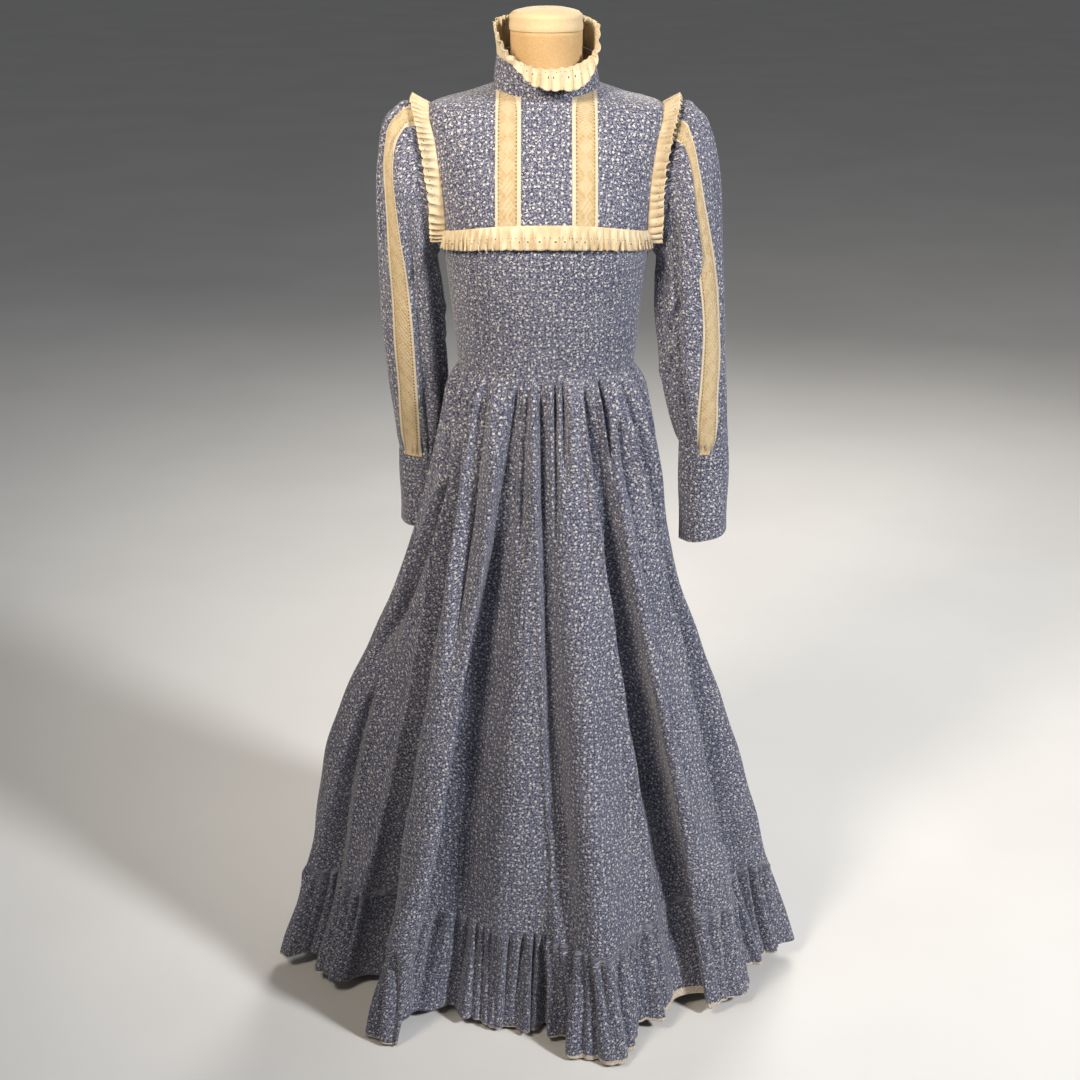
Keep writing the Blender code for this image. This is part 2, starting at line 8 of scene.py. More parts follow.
import bmesh
import bpy
import numpy as np
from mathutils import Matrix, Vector


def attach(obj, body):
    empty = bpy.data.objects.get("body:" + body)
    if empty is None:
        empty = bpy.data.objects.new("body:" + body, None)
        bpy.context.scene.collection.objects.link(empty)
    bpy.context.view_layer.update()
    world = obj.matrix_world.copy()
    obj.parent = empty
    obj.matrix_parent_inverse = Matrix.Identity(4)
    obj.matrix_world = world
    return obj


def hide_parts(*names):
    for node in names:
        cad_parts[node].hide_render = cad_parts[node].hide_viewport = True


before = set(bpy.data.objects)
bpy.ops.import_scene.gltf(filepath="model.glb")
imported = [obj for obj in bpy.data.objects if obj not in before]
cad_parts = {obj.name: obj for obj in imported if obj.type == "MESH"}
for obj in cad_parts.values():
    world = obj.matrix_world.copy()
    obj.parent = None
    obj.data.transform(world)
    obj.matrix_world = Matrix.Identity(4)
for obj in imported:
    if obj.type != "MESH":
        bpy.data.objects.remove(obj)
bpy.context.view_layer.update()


# ==== The dress form =======================================================================
# A limbless figure stands inside the dress: a padded torso and a turned neck, both covered in
# cream linen, and a neck cap tacked down over the top. The torso's linen is coloured darker
# than the cap's: its own cream with painted shade for the neck below the cap. A black steel
# pole and a round base carry it. The figure is given as level rings, which the bodice uses
# too, a little outside.
FIGURE_COLUMNS = ("name", "z_front", "z_side", "z_back", "half_width", "front", "back",
                  "middle", "power")
FIGURE = (
    ("waist", 1.070, 1.070, 1.070, 0.129, 0.098, 0.098, 0.000, 2.1),
    ("ribs", 1.130, 1.130, 1.130, 0.135, 0.111, 0.100, 0.000, 2.15),
    ("under_bust", 1.188, 1.186, 1.188, 0.141, 0.127, 0.104, 0.000, 2.2),
    ("armpit", 1.244, 1.238, 1.244, 0.147, 0.137, 0.110, 0.000, 2.3),
    ("yoke_seam", 1.298, 1.274, 1.300, 0.152, 0.134, 0.116, 0.000, 2.5),
    ("chest", 1.350, 1.332, 1.352, 0.159, 0.117, 0.118, 0.000, 2.6),
    ("upper_chest", 1.400, 1.392, 1.406, 0.167, 0.094, 0.108, 0.004, 2.6),
    ("shoulder", 1.430, 1.440, 1.444, 0.168, 0.080, 0.092, 0.008, 2.5),
    ("mid_shoulder", 1.445, 1.456, 1.465, 0.121, 0.074, 0.080, 0.010, 2.2),
    ("neck", 1.457, 1.468, 1.482, 0.075, 0.066, 0.066, 0.012, 2.0),
)
ARMPIT, YOKE_SEAM, SHOULDER, NECK = 3, 4, 7, 9
FORM_HIPS = (            # z, half width, front, back
    (0.800, 0.132, 0.093, 0.102),
    (0.830, 0.138, 0.097, 0.107),
    (0.890, 0.138, 0.097, 0.106),
    (0.960, 0.128, 0.092, 0.097),
    (1.020, 0.119, 0.088, 0.089),
)
FORM_NECK = (            # z, radius, middle
    (1.4650, 0.0630, 0.014),
    (1.4760, 0.0555, 0.013),
    (1.5100, 0.0510, 0.011),
    (1.5450, 0.0505, 0.008),
)
FORM_EASE = 0.0050       # between the form and the bodice, away from the shoulders
FORM_SEAT = 0.0014       # from the middle of the cloth to the form at the tops of the shoulders
FORM_SIDES = 96
HIPS_TOP = 1.05
HIPS_POWER = 2.1         # how square the rings of the hips are, 2 being an ellipse
CAP_TOP = 1.578
CAP_GAP = 0.0003         # between the top of the neck and the foot of the cap
CAP_EDGE = (             # how far the cap's edge stands out from the neck, how high above its foot
    (0.0002, 0.0000),
    (0.0010, 0.0014),
    (0.0011, 0.0080),
    (0.0004, 0.0150),
    (0.0012, 0.0176),
    (0.0008, 0.0205),
    (-0.0022, 0.0232),
)
DOME_FOOT = 0.0240       # where the cap's dome starts, above the foot
DOME_MARGIN = 0.0246
DIMPLE_DEPTH = 0.0022
DIMPLE_PLACE = 0.22      # as shares of the cap's radius
DIMPLE_REACH = 0.14
CAP_CRUMPLE = 0.0006
LINEN_YARN = 0.0009
# The torso's linen: its own cream, darkened with painted shade for the neck below the cap.
LINEN_WITH_PAINTED_SHADE = (0.50, 0.34, 0.17)
DARKER_LINEN_WITH_PAINTED_SHADE = (0.38, 0.245, 0.11)
CAP_LINEN = (0.60, 0.47, 0.29)
CAP_LINEN_SHADE = (0.51, 0.37, 0.21)
ENAMEL = (0.012, 0.012, 0.013)
RUBBED_ENAMEL = (0.055, 0.053, 0.05)


def through(places, values, place):
    """A smooth curve through a row of values, read at any number of places."""
    places, values, place = (np.asarray(x, float) for x in (places, values, place))
    i = np.clip(np.searchsorted(places, place) - 1, 0, len(places) - 2)
    before, after = np.maximum(i - 1, 0), np.minimum(i + 2, len(places) - 1)
    span = places[i + 1] - places[i]
    slope_a = (values[i + 1] - values[before]) / (places[i + 1] - places[before])
    slope_b = (values[after] - values[i]) / (places[after] - places[i])
    t = (place - places[i]) / span
    return ((2 * t**3 - 3 * t**2 + 1) * values[i] + (t**3 - 2 * t**2 + t) * span * slope_a
            + (3 * t**2 - 2 * t**3) * values[i + 1] + (t**3 - t**2) * span * slope_b)


def read_rings(table, columns, place):
    rows = np.array([row[1:] for row in table], dtype=float)
    places = np.arange(len(table))
    return {name: through(places, rows[:, k], place) for k, name in enumerate(columns[1:])}


def signed_power(value, power):
    return np.sign(value) * np.abs(value) ** power


def ring_point(ring, angle):
    """Points of level rings, angle in degrees from the front, positive towards +X."""
    s, c = np.sin(np.radians(angle)), np.cos(np.radians(angle))
    round_power = 2 / ring["power"]
    depth = np.where(c > 0, ring["front"], ring["back"])
    rise = np.where(c > 0, ring["z_front"], ring["z_back"]) - ring["z_side"]
    return np.stack(np.broadcast_arrays(ring["half_width"] * signed_power(s, round_power),
                                        ring["middle"] - depth * signed_power(c, round_power),
                                        ring["z_side"] + rise * c * c), -1)


def figure(angle, level):
    return ring_point(read_rings(FIGURE, FIGURE_COLUMNS, level), angle)


def unit(vectors):
    return vectors / np.maximum(np.linalg.norm(vectors, axis=-1, keepdims=True), 1e-12)


def outward(surface, u, v, du=0.5, dv=0.02):
    """The outward normals of a surface that runs anticlockwise, seen from above, with u."""
    across = surface(u + du, v) - surface(u - du, v)
    along = surface(u, v + dv) - surface(u, v - dv)
    return unit(np.cross(across, along))


def lay_out(name, points, materials, closed=False, flip=False, cloth_map=None):
    """A mesh on a grid of points, row by row, its map in metres if it has one."""
    rows, columns = points.shape[:2]
    index = np.arange(rows * columns).reshape(rows, columns)
    if closed:
        index = np.hstack([index, index[:, :1]])
    corners = [index[:-1, :-1], index[:-1, 1:], index[1:, 1:], index[1:, :-1]]
    faces = np.stack(corners, -1).reshape(-1, 4)
    if flip:
        faces = faces[:, ::-1]
    mesh = bpy.data.meshes.new(name)
    mesh.from_pydata(points.reshape(-1, 3).tolist(), [], faces.tolist())
    if cloth_map is not None:
        layer = mesh.uv_layers.new(name="cloth")
        placed = cloth_map.reshape(-1, 2)[faces.ravel()]
        layer.data.foreach_set("uv", placed.ravel().astype(np.float32))
    mesh.shade_smooth()
    made = bpy.data.objects.new(name, mesh)
    for surface_material in materials:
        mesh.materials.append(surface_material)
    bpy.context.scene.collection.objects.link(made)
    return made


def add(tree, kind, inputs=None, **settings):
    """A node in a tree, with its inputs, each a value or the output that feeds it."""
    made = tree.nodes.new(kind)
    for key, value in settings.items():
        setattr(made, key, value)
    for key, value in (inputs or {}).items():
        if isinstance(value, bpy.types.NodeSocket):
            tree.links.new(value, made.inputs[key])
        else:
            made.inputs[key].default_value = value
    return made


def maths(tree, operation, a, b=0.0, clamp=False):
    return add(tree, "ShaderNodeMath", {0: a, 1: b}, operation=operation, use_clamp=clamp).outputs[0]


def step(tree, value, low, high):
    """0 below low, 1 above high, smooth between; the other way round if low is above high."""
    return add(tree, "ShaderNodeMapRange", {"Value": value, "From Min": low, "From Max": high},
               interpolation_type="SMOOTHSTEP").outputs["Result"]


def blend(tree, share, a, b):
    """From colour a to colour b, each a plain colour or the output that feeds it."""
    a, b = (c if isinstance(c, bpy.types.NodeSocket) else (*c, 1) for c in (a, b))
    return add(tree, "ShaderNodeMix", {0: share, 6: a, 7: b}, data_type="RGBA").outputs[2]


def noise(tree, place, scale, detail=2.0):
    return add(tree, "ShaderNodeTexNoise", {"Vector": place, "Scale": scale, "Detail": detail}).outputs[0]


def new_group(name, inputs, outputs):
    """An empty shader group, with named inputs and their defaults, and named outputs."""
    tree = bpy.data.node_groups.new(name, "ShaderNodeTree")
    for socket_name, kind, default in inputs:
        socket = tree.interface.new_socket(socket_name, in_out="INPUT", socket_type=kind)
        if default is not None:
            socket.default_value = default
    for socket_name, kind in outputs:
        tree.interface.new_socket(socket_name, in_out="OUTPUT", socket_type=kind)
    return tree, tree.nodes.new("NodeGroupInput"), tree.nodes.new("NodeGroupOutput")


def build_weave_group():
    """The over and under of a plain weave, as a height, with the slubs of its yarn."""
    tree, given, result = new_group(
        "plain_weave",
        [("Vector", "NodeSocketVector", None), ("Yarn", "NodeSocketFloat", 0.0006),
         ("Slub", "NodeSocketFloat", 0.4)],
        [("Height", "NodeSocketFloat"), ("Slubs", "NodeSocketFloat")])
    turns = maths(tree, "DIVIDE", math.pi, given.outputs["Yarn"])
    place = add(tree, "ShaderNodeVectorMath", {0: given.outputs["Vector"], 3: turns},
                operation="SCALE").outputs[0]
    parts = add(tree, "ShaderNodeSeparateXYZ", {0: place})
    warp = maths(tree, "SINE", maths(tree, "ADD", parts.outputs["X"], parts.outputs["Z"]))
    weft = maths(tree, "SINE", maths(tree, "ADD", parts.outputs["Y"], parts.outputs["Z"]))
    crossing = maths(tree, "MULTIPLY", warp, weft)
    slubs = noise(tree, given.outputs["Vector"], scale=350.0, detail=3.0)
    height = maths(tree, "ADD", crossing, maths(tree, "MULTIPLY", slubs, given.outputs["Slub"]))
    tree.links.new(height, result.inputs["Height"])
    tree.links.new(slubs, result.inputs["Slubs"])
    return tree


plain_weave = build_weave_group()


def new_material(name, roughness, sheen=0.0, specular=0.25):
    made = bpy.data.materials.new(name)
    made.use_nodes = True
    shader = made.node_tree.nodes["Principled BSDF"]
    shader.inputs["Roughness"].default_value = roughness
    shader.inputs["Sheen Weight"].default_value = sheen
    shader.inputs["Sheen Roughness"].default_value = 0.45
    shader.inputs["Specular IOR Level"].default_value = specular
    return made, made.node_tree, shader


def emboss(tree, shader, height, distance, strength):
    bump = add(tree, "ShaderNodeBump", {"Height": height, "Distance": distance, "Strength": strength})
    tree.links.new(bump.outputs[0], shader.inputs["Normal"])


def linen_material(name, colour, shade):
    """Cream linen, a little unevenly faded, with an open plain weave."""
    made, tree, shader = new_material(name, roughness=0.85, sheen=0.15)
    place = add(tree, "ShaderNodeTexCoord").outputs["Object"]
    weave = add(tree, "ShaderNodeGroup", {"Vector": place, "Yarn": LINEN_YARN}, node_tree=plain_weave)
    faded = step(tree, noise(tree, place, scale=14.0, detail=4.0), 0.3, 0.75)
    thready = step(tree, weave.outputs["Slubs"], 0.35, 0.7)
    tone = maths(tree, "ADD", maths(tree, "MULTIPLY", faded, 0.6), maths(tree, "MULTIPLY", thready, 0.4))
    tree.links.new(blend(tree, tone, shade, colour), shader.inputs["Base Color"])
    emboss(tree, shader, weave.outputs["Height"], distance=0.0002, strength=0.5)
    return made


def painted_steel():
    """Black enamel on steel, brushed out thinly, with dust and rubbed patches."""
    made, tree, shader = new_material("painted_steel", roughness=0.4, specular=0.5)
    place = add(tree, "ShaderNodeTexCoord").outputs["Object"]
    rubbed = step(tree, noise(tree, place, scale=45.0, detail=5.0), 0.52, 0.72)
    tree.links.new(blend(tree, rubbed, ENAMEL, RUBBED_ENAMEL), shader.inputs["Base Color"])
    roughness = add(tree, "ShaderNodeMapRange", {"Value": rubbed, "To Min": 0.32, "To Max": 0.55})
    tree.links.new(roughness.outputs[0], shader.inputs["Roughness"])
    emboss(tree, shader, noise(tree, place, scale=260.0), distance=0.0002, strength=0.3)
    return made


def put_on(piece, slot, *nodes):
    """The piece rides on the one body and stands for its solids, which are hidden; the slot is not used."""
    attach(piece, "root")
    if nodes:
        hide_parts(*nodes)


def solid_of_rings(name, rings, surface_material):
    """A closed solid through level rings, its two ends drawn in to a point."""
    rings = np.asarray(rings)
    ends = [np.repeat(rings[k].mean(0)[None], rings.shape[1], 0) for k in (0, -1)]
    tight = [rings[0] * 0.02 + ends[0] * 0.98, rings[-1] * 0.02 + ends[1] * 0.98]
    points = np.concatenate([tight[:1], rings, tight[1:]])
    made = lay_out(name, points, [surface_material], closed=True)
    mesh = made.data
    count = rings.shape[1]
    last = len(mesh.vertices) - count
    bm = bmesh.new()
    bm.from_mesh(mesh)
    bm.verts.ensure_lookup_table()
    bm.faces.new([bm.verts[k] for k in reversed(range(count))])
    bm.faces.new([bm.verts[last + k] for k in range(count)])
    bm.to_mesh(mesh)
    bm.free()
    mesh.shade_smooth()
    return made


def neck_ring(turn, radius, middle, z):
    around = np.radians(turn)
    return np.stack([radius * np.sin(around), middle - radius * np.cos(around),
                     np.full_like(around, z)], -1)


def build_torso(turn):
    """Rings up the hips, then inside the bodice, then up the neck."""
    rings = []
    hips = np.array(FORM_HIPS)
    for z in np.linspace(hips[0, 0], HIPS_TOP, 26):
        half_width, front, back = (through(hips[:, 0], hips[:, k], min(z, hips[-1, 0])) for k in (1, 2, 3))
        ring = dict(z_front=z, z_side=z, z_back=z, half_width=half_width, front=front, back=back,
                    middle=0.0, power=HIPS_POWER)
        rings.append(ring_point(ring, turn))
    for level in np.linspace(0.1, 8.6, 60):
        on_top = np.clip((level - 7.2) / 0.9, 0, 1) * np.abs(np.sin(np.radians(turn))) ** 20
        inset = FORM_SEAT * on_top + FORM_EASE * (1 - on_top)
        rings.append(figure(turn, level) - outward(figure, turn, level) * inset[:, None])
    neck = np.array(FORM_NECK)
    for z in np.linspace(neck[0, 0], neck[-1, 0], 16):
        radius, middle = (through(neck[:, 0], neck[:, k], z) for k in (1, 2))
        rings.append(neck_ring(turn, radius, middle, z))
    # The torso's linen is its own cream darkened with painted shade, for the neck below the cap.
    linen = linen_material("form_linen", LINEN_WITH_PAINTED_SHADE, DARKER_LINEN_WITH_PAINTED_SHADE)
    torso = solid_of_rings("form_torso_cover", rings, linen)
    put_on(torso, "form_linen", "form_torso")


def build_cap(turn):
    """Linen over a wooden disc, with a rolled edge and a shallow dimple at its button; it has no painted
    shade, unlike the torso's linen.
    """
    top_z, top_radius, top_middle = FORM_NECK[-1]
    foot = top_z + CAP_GAP
    profile = [(top_radius + out, foot + up) for out, up in CAP_EDGE]
    for out in np.linspace(0.90, 0.04, 16):
        dimple = DIMPLE_DEPTH * math.exp(-((out - DIMPLE_PLACE) / DIMPLE_REACH) ** 2)
        dome = (CAP_TOP - foot - DOME_MARGIN) * (1 - out**2) - dimple
        profile.append((top_radius * out, foot + DOME_FOOT + dome))
    rings = []
    for radius, z in profile:
        crumple = CAP_CRUMPLE * np.sin(3 * np.radians(turn) + 40 * z) * min(1.0, radius / 0.03)
        rings.append(neck_ring(turn, radius + crumple, top_middle, z))
    cap_linen = linen_material("cap_linen", CAP_LINEN, CAP_LINEN_SHADE)
    cap = solid_of_rings("form_neck_cap_cover", rings, cap_linen)
    put_on(cap, "form_linen", "form_neck_cap")


def paint_stand():
    steel = painted_steel()
    for node in ("stand_pole", "stand_base"):
        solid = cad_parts[node]
        solid.data.materials.clear()
        solid.data.materials.append(steel)


round_the_form = np.arange(FORM_SIDES) * 360 / FORM_SIDES
build_torso(round_the_form)
build_cap(round_the_form)
paint_stand()


# ==== The printed cotton ===================================================================
# Light navy cotton lawn, printed all over with small white flowers, curled leaves and dots in
# lavender grey. The wrong side is unprinted and pale. Every piece is mapped in metres.
COTTON_WALL = 0.0007
PRINT_SIZE = 0.78        # how large the motifs are printed, against the sizes they are drawn at
FLOWER_PITCH = 0.0128
LEAF_PITCH = 0.0056
SPRIG_PITCH = 0.0046
DOT_PITCH = 0.0062
PETAL_REACH = 0.0019     # from a flower's middle, and how much each petal swells beyond it
PETAL_SWELL = 0.0005
EYE_EDGE = (0.00062, 0.00048)
DOT = (0.00085, 0.0007)  # half the width and half the height of each motif
LEAF = (0.0022, 0.0020)
LEAF_CUT = (0.0019, 0.0016, (0.0009, 0.0004))
SPRIG_LEAVES = ((0.0017, 0.0006, (0.0, 0.0007)), (0.0014, 0.0006, (0.0004, -0.0008)))
COTTON_YARN = 0.0005
NAVY = (0.036, 0.039, 0.066)
WORN_NAVY = (0.050, 0.053, 0.084)
LAVENDER = (0.165, 0.170, 0.228)
WORN_LAVENDER = (0.205, 0.208, 0.268)
PRINTED_WHITE = (0.54, 0.52, 0.50)
WRONG_SIDE = (0.40, 0.34, 0.28)
WRONG_SIDE_MOTIF = (0.62, 0.52, 0.40)


def cell(tree, place, pitch, randomness, shift):
    """One motif a cell: where a point lies from its motif's middle, and the cell's own chance.

    Each motif is turned at random.
    """
    shifted = add(tree, "ShaderNodeVectorMath", {0: place, 1: (shift, 0.37 * shift, 0)},
                  operation="ADD").outputs[0]
    cells = add(tree, "ShaderNodeTexVoronoi",
                {"Vector": shifted, "Scale": 1 / pitch, "Randomness": randomness},
                voronoi_dimensions="2D")
    away = add(tree, "ShaderNodeVectorMath", {0: shifted, 1: cells.outputs["Position"]},
               operation="SUBTRACT").outputs[0]
    chance = add(tree, "ShaderNodeSeparateColor", {0: cells.outputs["Color"]})
    spin = maths(tree, "MULTIPLY", chance.outputs[0], 2 * math.pi)
    local = add(tree, "ShaderNodeVectorRotate", {"Vector": away, "Angle": spin},
                rotation_type="Z_AXIS").outputs[0]
    return local, chance.outputs[1]


def within(tree, local, across, up, centre=(0.0, 0.0)):
    """1 inside an ellipse about a point of the motif, 0 outside it, soft by a hair."""
    placed = add(tree, "ShaderNodeVectorMath", {0: local, 1: (*centre, 0)},
                 operation="SUBTRACT").outputs[0]
    scaled = add(tree, "ShaderNodeVectorMath", {0: placed, 1: (1 / across, 1 / up, 0)},
                 operation="MULTIPLY").outputs[0]
    reach = add(tree, "ShaderNodeVectorMath", {0: scaled}, operation="LENGTH").outputs["Value"]
    return step(tree, reach, 1.12, 0.88)


def build_ditsy_group():
    """The print: how much white, and how much lavender grey, lies at a place on the cloth."""
    tree, given, result = new_group("ditsy_print", [("Vector", "NodeSocketVector", None)],
                                    [("White", "NodeSocketFloat"), ("Grey", "NodeSocketFloat")])
    place = add(tree, "ShaderNodeVectorMath", {0: given.outputs["Vector"], "Scale": 1 / PRINT_SIZE},
                operation="SCALE").outputs[0]

    # Flowers of five petals round a dark eye.
    local, chance = cell(tree, place, FLOWER_PITCH, 0.62, 0.0)
    parts = add(tree, "ShaderNodeSeparateXYZ", {0: local})
    reach = add(tree, "ShaderNodeVectorMath", {0: local}, operation="LENGTH").outputs["Value"]
    turn = maths(tree, "ARCTAN2", parts.outputs["Y"], parts.outputs["X"])
    lobes = maths(tree, "COSINE", maths(tree, "MULTIPLY", turn, 5.0))
    edge = maths(tree, "ADD", maths(tree, "MULTIPLY", lobes, PETAL_SWELL), PETAL_REACH)
    size = add(tree, "ShaderNodeMapRange", {"Value": chance, "To Min": 0.75, "To Max": 1.15}).outputs[0]
    grown = maths(tree, "MULTIPLY", edge, size)
    petals = step(tree, maths(tree, "DIVIDE", reach, grown), 1.08, 0.9)
    eye = step(tree, reach, *EYE_EDGE)
    flowers = maths(tree, "SUBTRACT", petals, eye, clamp=True)

    # White dots, scattered close.
    local, chance = cell(tree, place, DOT_PITCH, 1.0, 3.1)
    dots = maths(tree, "MULTIPLY", within(tree, local, *DOT), step(tree, chance, 0.45, 0.5))

    # Curled leaves, each a disc with another cut out of it, and sprigs of paired leaves.
    local, chance = cell(tree, place, LEAF_PITCH, 0.85, 5.7)
    curls = maths(tree, "SUBTRACT", within(tree, local, *LEAF), within(tree, local, *LEAF_CUT), clamp=True)
    local, _ = cell(tree, place, SPRIG_PITCH, 0.9, 9.3)
    sprigs = maths(tree, "MAXIMUM", *(within(tree, local, *leaf) for leaf in SPRIG_LEAVES))
    pale_curls = maths(tree, "MULTIPLY", curls, step(tree, chance, 0.86, 0.88))
    white = maths(tree, "MAXIMUM", maths(tree, "MAXIMUM", flowers, dots), pale_curls)
    grey = maths(tree, "MAXIMUM", curls, sprigs)
    tree.links.new(white, result.inputs["White"])
    tree.links.new(grey, result.inputs["Grey"])
    return tree


ditsy_print = build_ditsy_group()


def cloth_place(tree):
    return add(tree, "ShaderNodeUVMap", uv_map="cloth").outputs[0]


def printed_cotton():
    """The right side of the cotton: the print over a dyed ground that is worn paler in places."""
    made, tree, shader = new_material("printed_cotton", roughness=0.88, sheen=0.18)
    place = cloth_place(tree)
    print_at = add(tree, "ShaderNodeGroup", {"Vector": place}, node_tree=ditsy_print)
    weave = add(tree, "ShaderNodeGroup", {"Vector": place, "Yarn": COTTON_YARN}, node_tree=plain_weave)
    worn = step(tree, noise(tree, place, scale=9.0, detail=3.0), 0.3, 0.7)
    navy = blend(tree, worn, NAVY, WORN_NAVY)
    lavender = blend(tree, worn, LAVENDER, WORN_LAVENDER)
    colour = blend(tree, print_at.outputs["Grey"], navy, lavender)
    colour = blend(tree, print_at.outputs["White"], colour, PRINTED_WHITE)
    tree.links.new(colour, shader.inputs["Base Color"])
    rumple = maths(tree, "MULTIPLY", noise(tree, place, scale=55.0, detail=3.0), 3.0)
    yarns = maths(tree, "MULTIPLY", weave.outputs["Height"], 0.25)
    emboss(tree, shader, maths(tree, "ADD", rumple, yarns), distance=0.0004, strength=0.6)
    return made


def unprinted_side():
    """The wrong side of the cotton: pale, with the print just showing through."""
    made, tree, shader = new_material("cotton_wrong_side", roughness=0.9, sheen=0.1)
    place = cloth_place(tree)
    print_at = add(tree, "ShaderNodeGroup", {"Vector": place}, node_tree=ditsy_print)
    weave = add(tree, "ShaderNodeGroup", {"Vector": place}, node_tree=plain_weave)
    through_print = maths(tree, "MAXIMUM", print_at.outputs["White"], print_at.outputs["Grey"])
    colour = blend(tree, through_print, WRONG_SIDE, WRONG_SIDE_MOTIF)
    tree.links.new(colour, shader.inputs["Base Color"])
    emboss(tree, shader, weave.outputs["Height"], distance=0.0002, strength=0.4)
    return made


COTTON_SIDES = [printed_cotton(), unprinted_side()]


def spread(count, edge=0.004):
    """Even steps from 0 to 1, with one narrow step inside each end to keep the edge crisp."""
    inner = np.linspace(edge, 1 - edge, count - 1)
    return np.concatenate([[0.0], inner, [1.0]])


def flatten(made):
    """Lays a skewed piece's map out flat again without stretching its print, still in metres."""
    bpy.context.view_layer.objects.active = made
    bpy.ops.object.mode_set(mode="EDIT")
    bpy.ops.mesh.select_all(action="SELECT")
    bpy.ops.uv.unwrap(method="ANGLE_BASED", margin=0)
    bpy.ops.object.mode_set(mode="OBJECT")
    mesh, layer = made.data, made.data.uv_layers["cloth"].data
    place = np.empty(len(layer) * 2, np.float32)
    layer.foreach_get("uv", place)
    corners = place.reshape(-1, 4, 2)
    one, other = corners[:, 2] - corners[:, 0], corners[:, 3] - corners[:, 1]
    laid = np.abs(one[:, 0] * other[:, 1] - one[:, 1] * other[:, 0]).sum() / 2
    layer.foreach_set("uv", place * math.sqrt(sum(face.area for face in mesh.polygons) / laid))


def grid_normals(points, flip=False):
    across, along = np.gradient(points, axis=1), np.gradient(points, axis=0)
    normals = unit(np.cross(across, along))
    return -normals if flip else normals


def lengths(points, axis):
    """How far along the cloth each point lies, from the first row or column."""
    steps = np.linalg.norm(np.diff(points, axis=axis), axis=-1)
    start = np.zeros_like(np.take(steps, [0], axis=axis))
    return np.cumsum(np.concatenate([start, steps], axis=axis), axis=axis)


def map_cloth(points, shift=(0.0, 0.0), level_row=0):
    """The cloth's own map in metres, from the middle of each row and from the row that hangs level."""
    u, v = lengths(points, 1), lengths(points, 0)
    column = points.shape[1] // 2
    u, v = u - u[:, column:column + 1], v - v[level_row]
    return np.stack([u + shift[0], v + shift[1]], -1)


def thicken(made, wall, wrong=1):
    """Gives the cloth its thickness, half to each side, with the wrong side's finish inside."""
    wall_of = made.modifiers.new("wall", "SOLIDIFY")
    wall_of.thickness = wall
    wall_of.offset = 0
    wall_of.material_offset = wrong
    return made


def sewn(name, points, sides, wall, flip=False, shift=(0.0, 0.0), level_row=0):
    made = lay_out(name, points, sides, flip=flip, cloth_map=map_cloth(points, shift, level_row))
    return thicken(made, wall, len(sides) - 1)


# ==== The bodice ===========================================================================
# The front is a square yoke in five strips over a fitted midriff with a dart up each side; the
# back is two halves that meet under a buttoned placket. All are sewn edge to edge, the seams
# pressed open, and the midriff eases in above the waist seam.
ARMHOLE_CUT = 0.07
INSERT_INNER = 0.035
INSERT_OUTER = 0.0705
BODICE_TOP = NECK - 0.0005     # in rings of the figure, as the next one is
MIDRIFF_TOP = YOKE_SEAM - 0.002
PUCKER_DEPTH = 0.0005
MIDRIFF_RUMPLE = 0.0008
YOKE_RUMPLE = 0.0007
DART_COLUMNS = ("name", "foot_x", "top_x", "foot_level", "top_level", "depth", "width")
FRONT_DARTS = (
    ("left_dart", -0.094, -0.104, 0.00, 3.75, 0.0028, 0.0026),
    ("left_tuck", -0.076, -0.088, 0.00, 1.60, 0.0007, 0.0040),
    ("right_dart", 0.086, 0.094, 0.00, 3.60, 0.0028, 0.0026),
    ("right_tuck", 0.101, 0.112, 0.40, 2.90, 0.0018, 0.0045),
    ("left_side_drag", -0.118, -0.126, 0.60, 3.40, 0.0010, 0.0050),
    ("right_side_drag", 0.119, 0.130, 0.30, 3.10, 0.0010, 0.0055),
    ("centre_ease", 0.012, 0.020, 0.00, 1.10, 0.0004, 0.0060),
    ("left_ease", -0.036, -0.040, 0.00, 1.30, 0.0004, 0.0060),
)
BACK_DARTS = (
    ("left_back_dart", -0.066, -0.072, 0.00, 3.10, 0.0014, 0.0030),
    ("right_back_dart", 0.066, 0.073, 0.00, 3.20, 0.0014, 0.0030),
    ("left_back_drag", -0.096, -0.104, 0.20, 2.40, 0.0009, 0.0055),
    ("right_back_drag", 0.092, 0.108, 0.10, 2.10, 0.0009, 0.0050),
)


def angle_at(x, level):
    """The angle at which a ring of the bodice reaches a given distance from the centre."""
    ring = read_rings(FIGURE, FIGURE_COLUMNS, level)
    share = np.minimum(np.abs(x) / ring["half_width"], 1.0) ** (ring["power"] / 2)
    return np.sign(x) * np.degrees(np.arcsin(share))


def armhole_angle(level):
    """The edge of the bodice's front at a level: side seam, armhole, then shoulder seam."""
    up = np.clip((np.asarray(level, float) - ARMPIT) / (SHOULDER - ARMPIT), 0, 1)
    ring = read_rings(FIGURE, FIGURE_COLUMNS, level)
    bow = np.sqrt(np.clip(np.sin(math.pi * up), 0, 1))
    return np.degrees(np.arcsin((1 - ARMHOLE_CUT * bow) ** (ring["power"] / 2)))


def dart_depth(table, points, level):
    """How deep the cloth is drawn in by the darts and drag lines of a table."""
    drawn = np.zeros(points.shape[:2])
    for row in table:
        dart = dict(zip(DART_COLUMNS, row))
        up = (level - dart["foot_level"]) / (dart["top_level"] - dart["foot_level"])
        line = dart["foot_x"] + (dart["top_x"] - dart["foot_x"]) * up
        taper = np.clip(np.minimum(up * 8 + 0.4, (1 - up) * 3), 0, 1)
        drawn += dart["depth"] * taper * np.exp(-np.abs((points[..., 0] - line) / dart["width"]) ** 1.4)
    return drawn


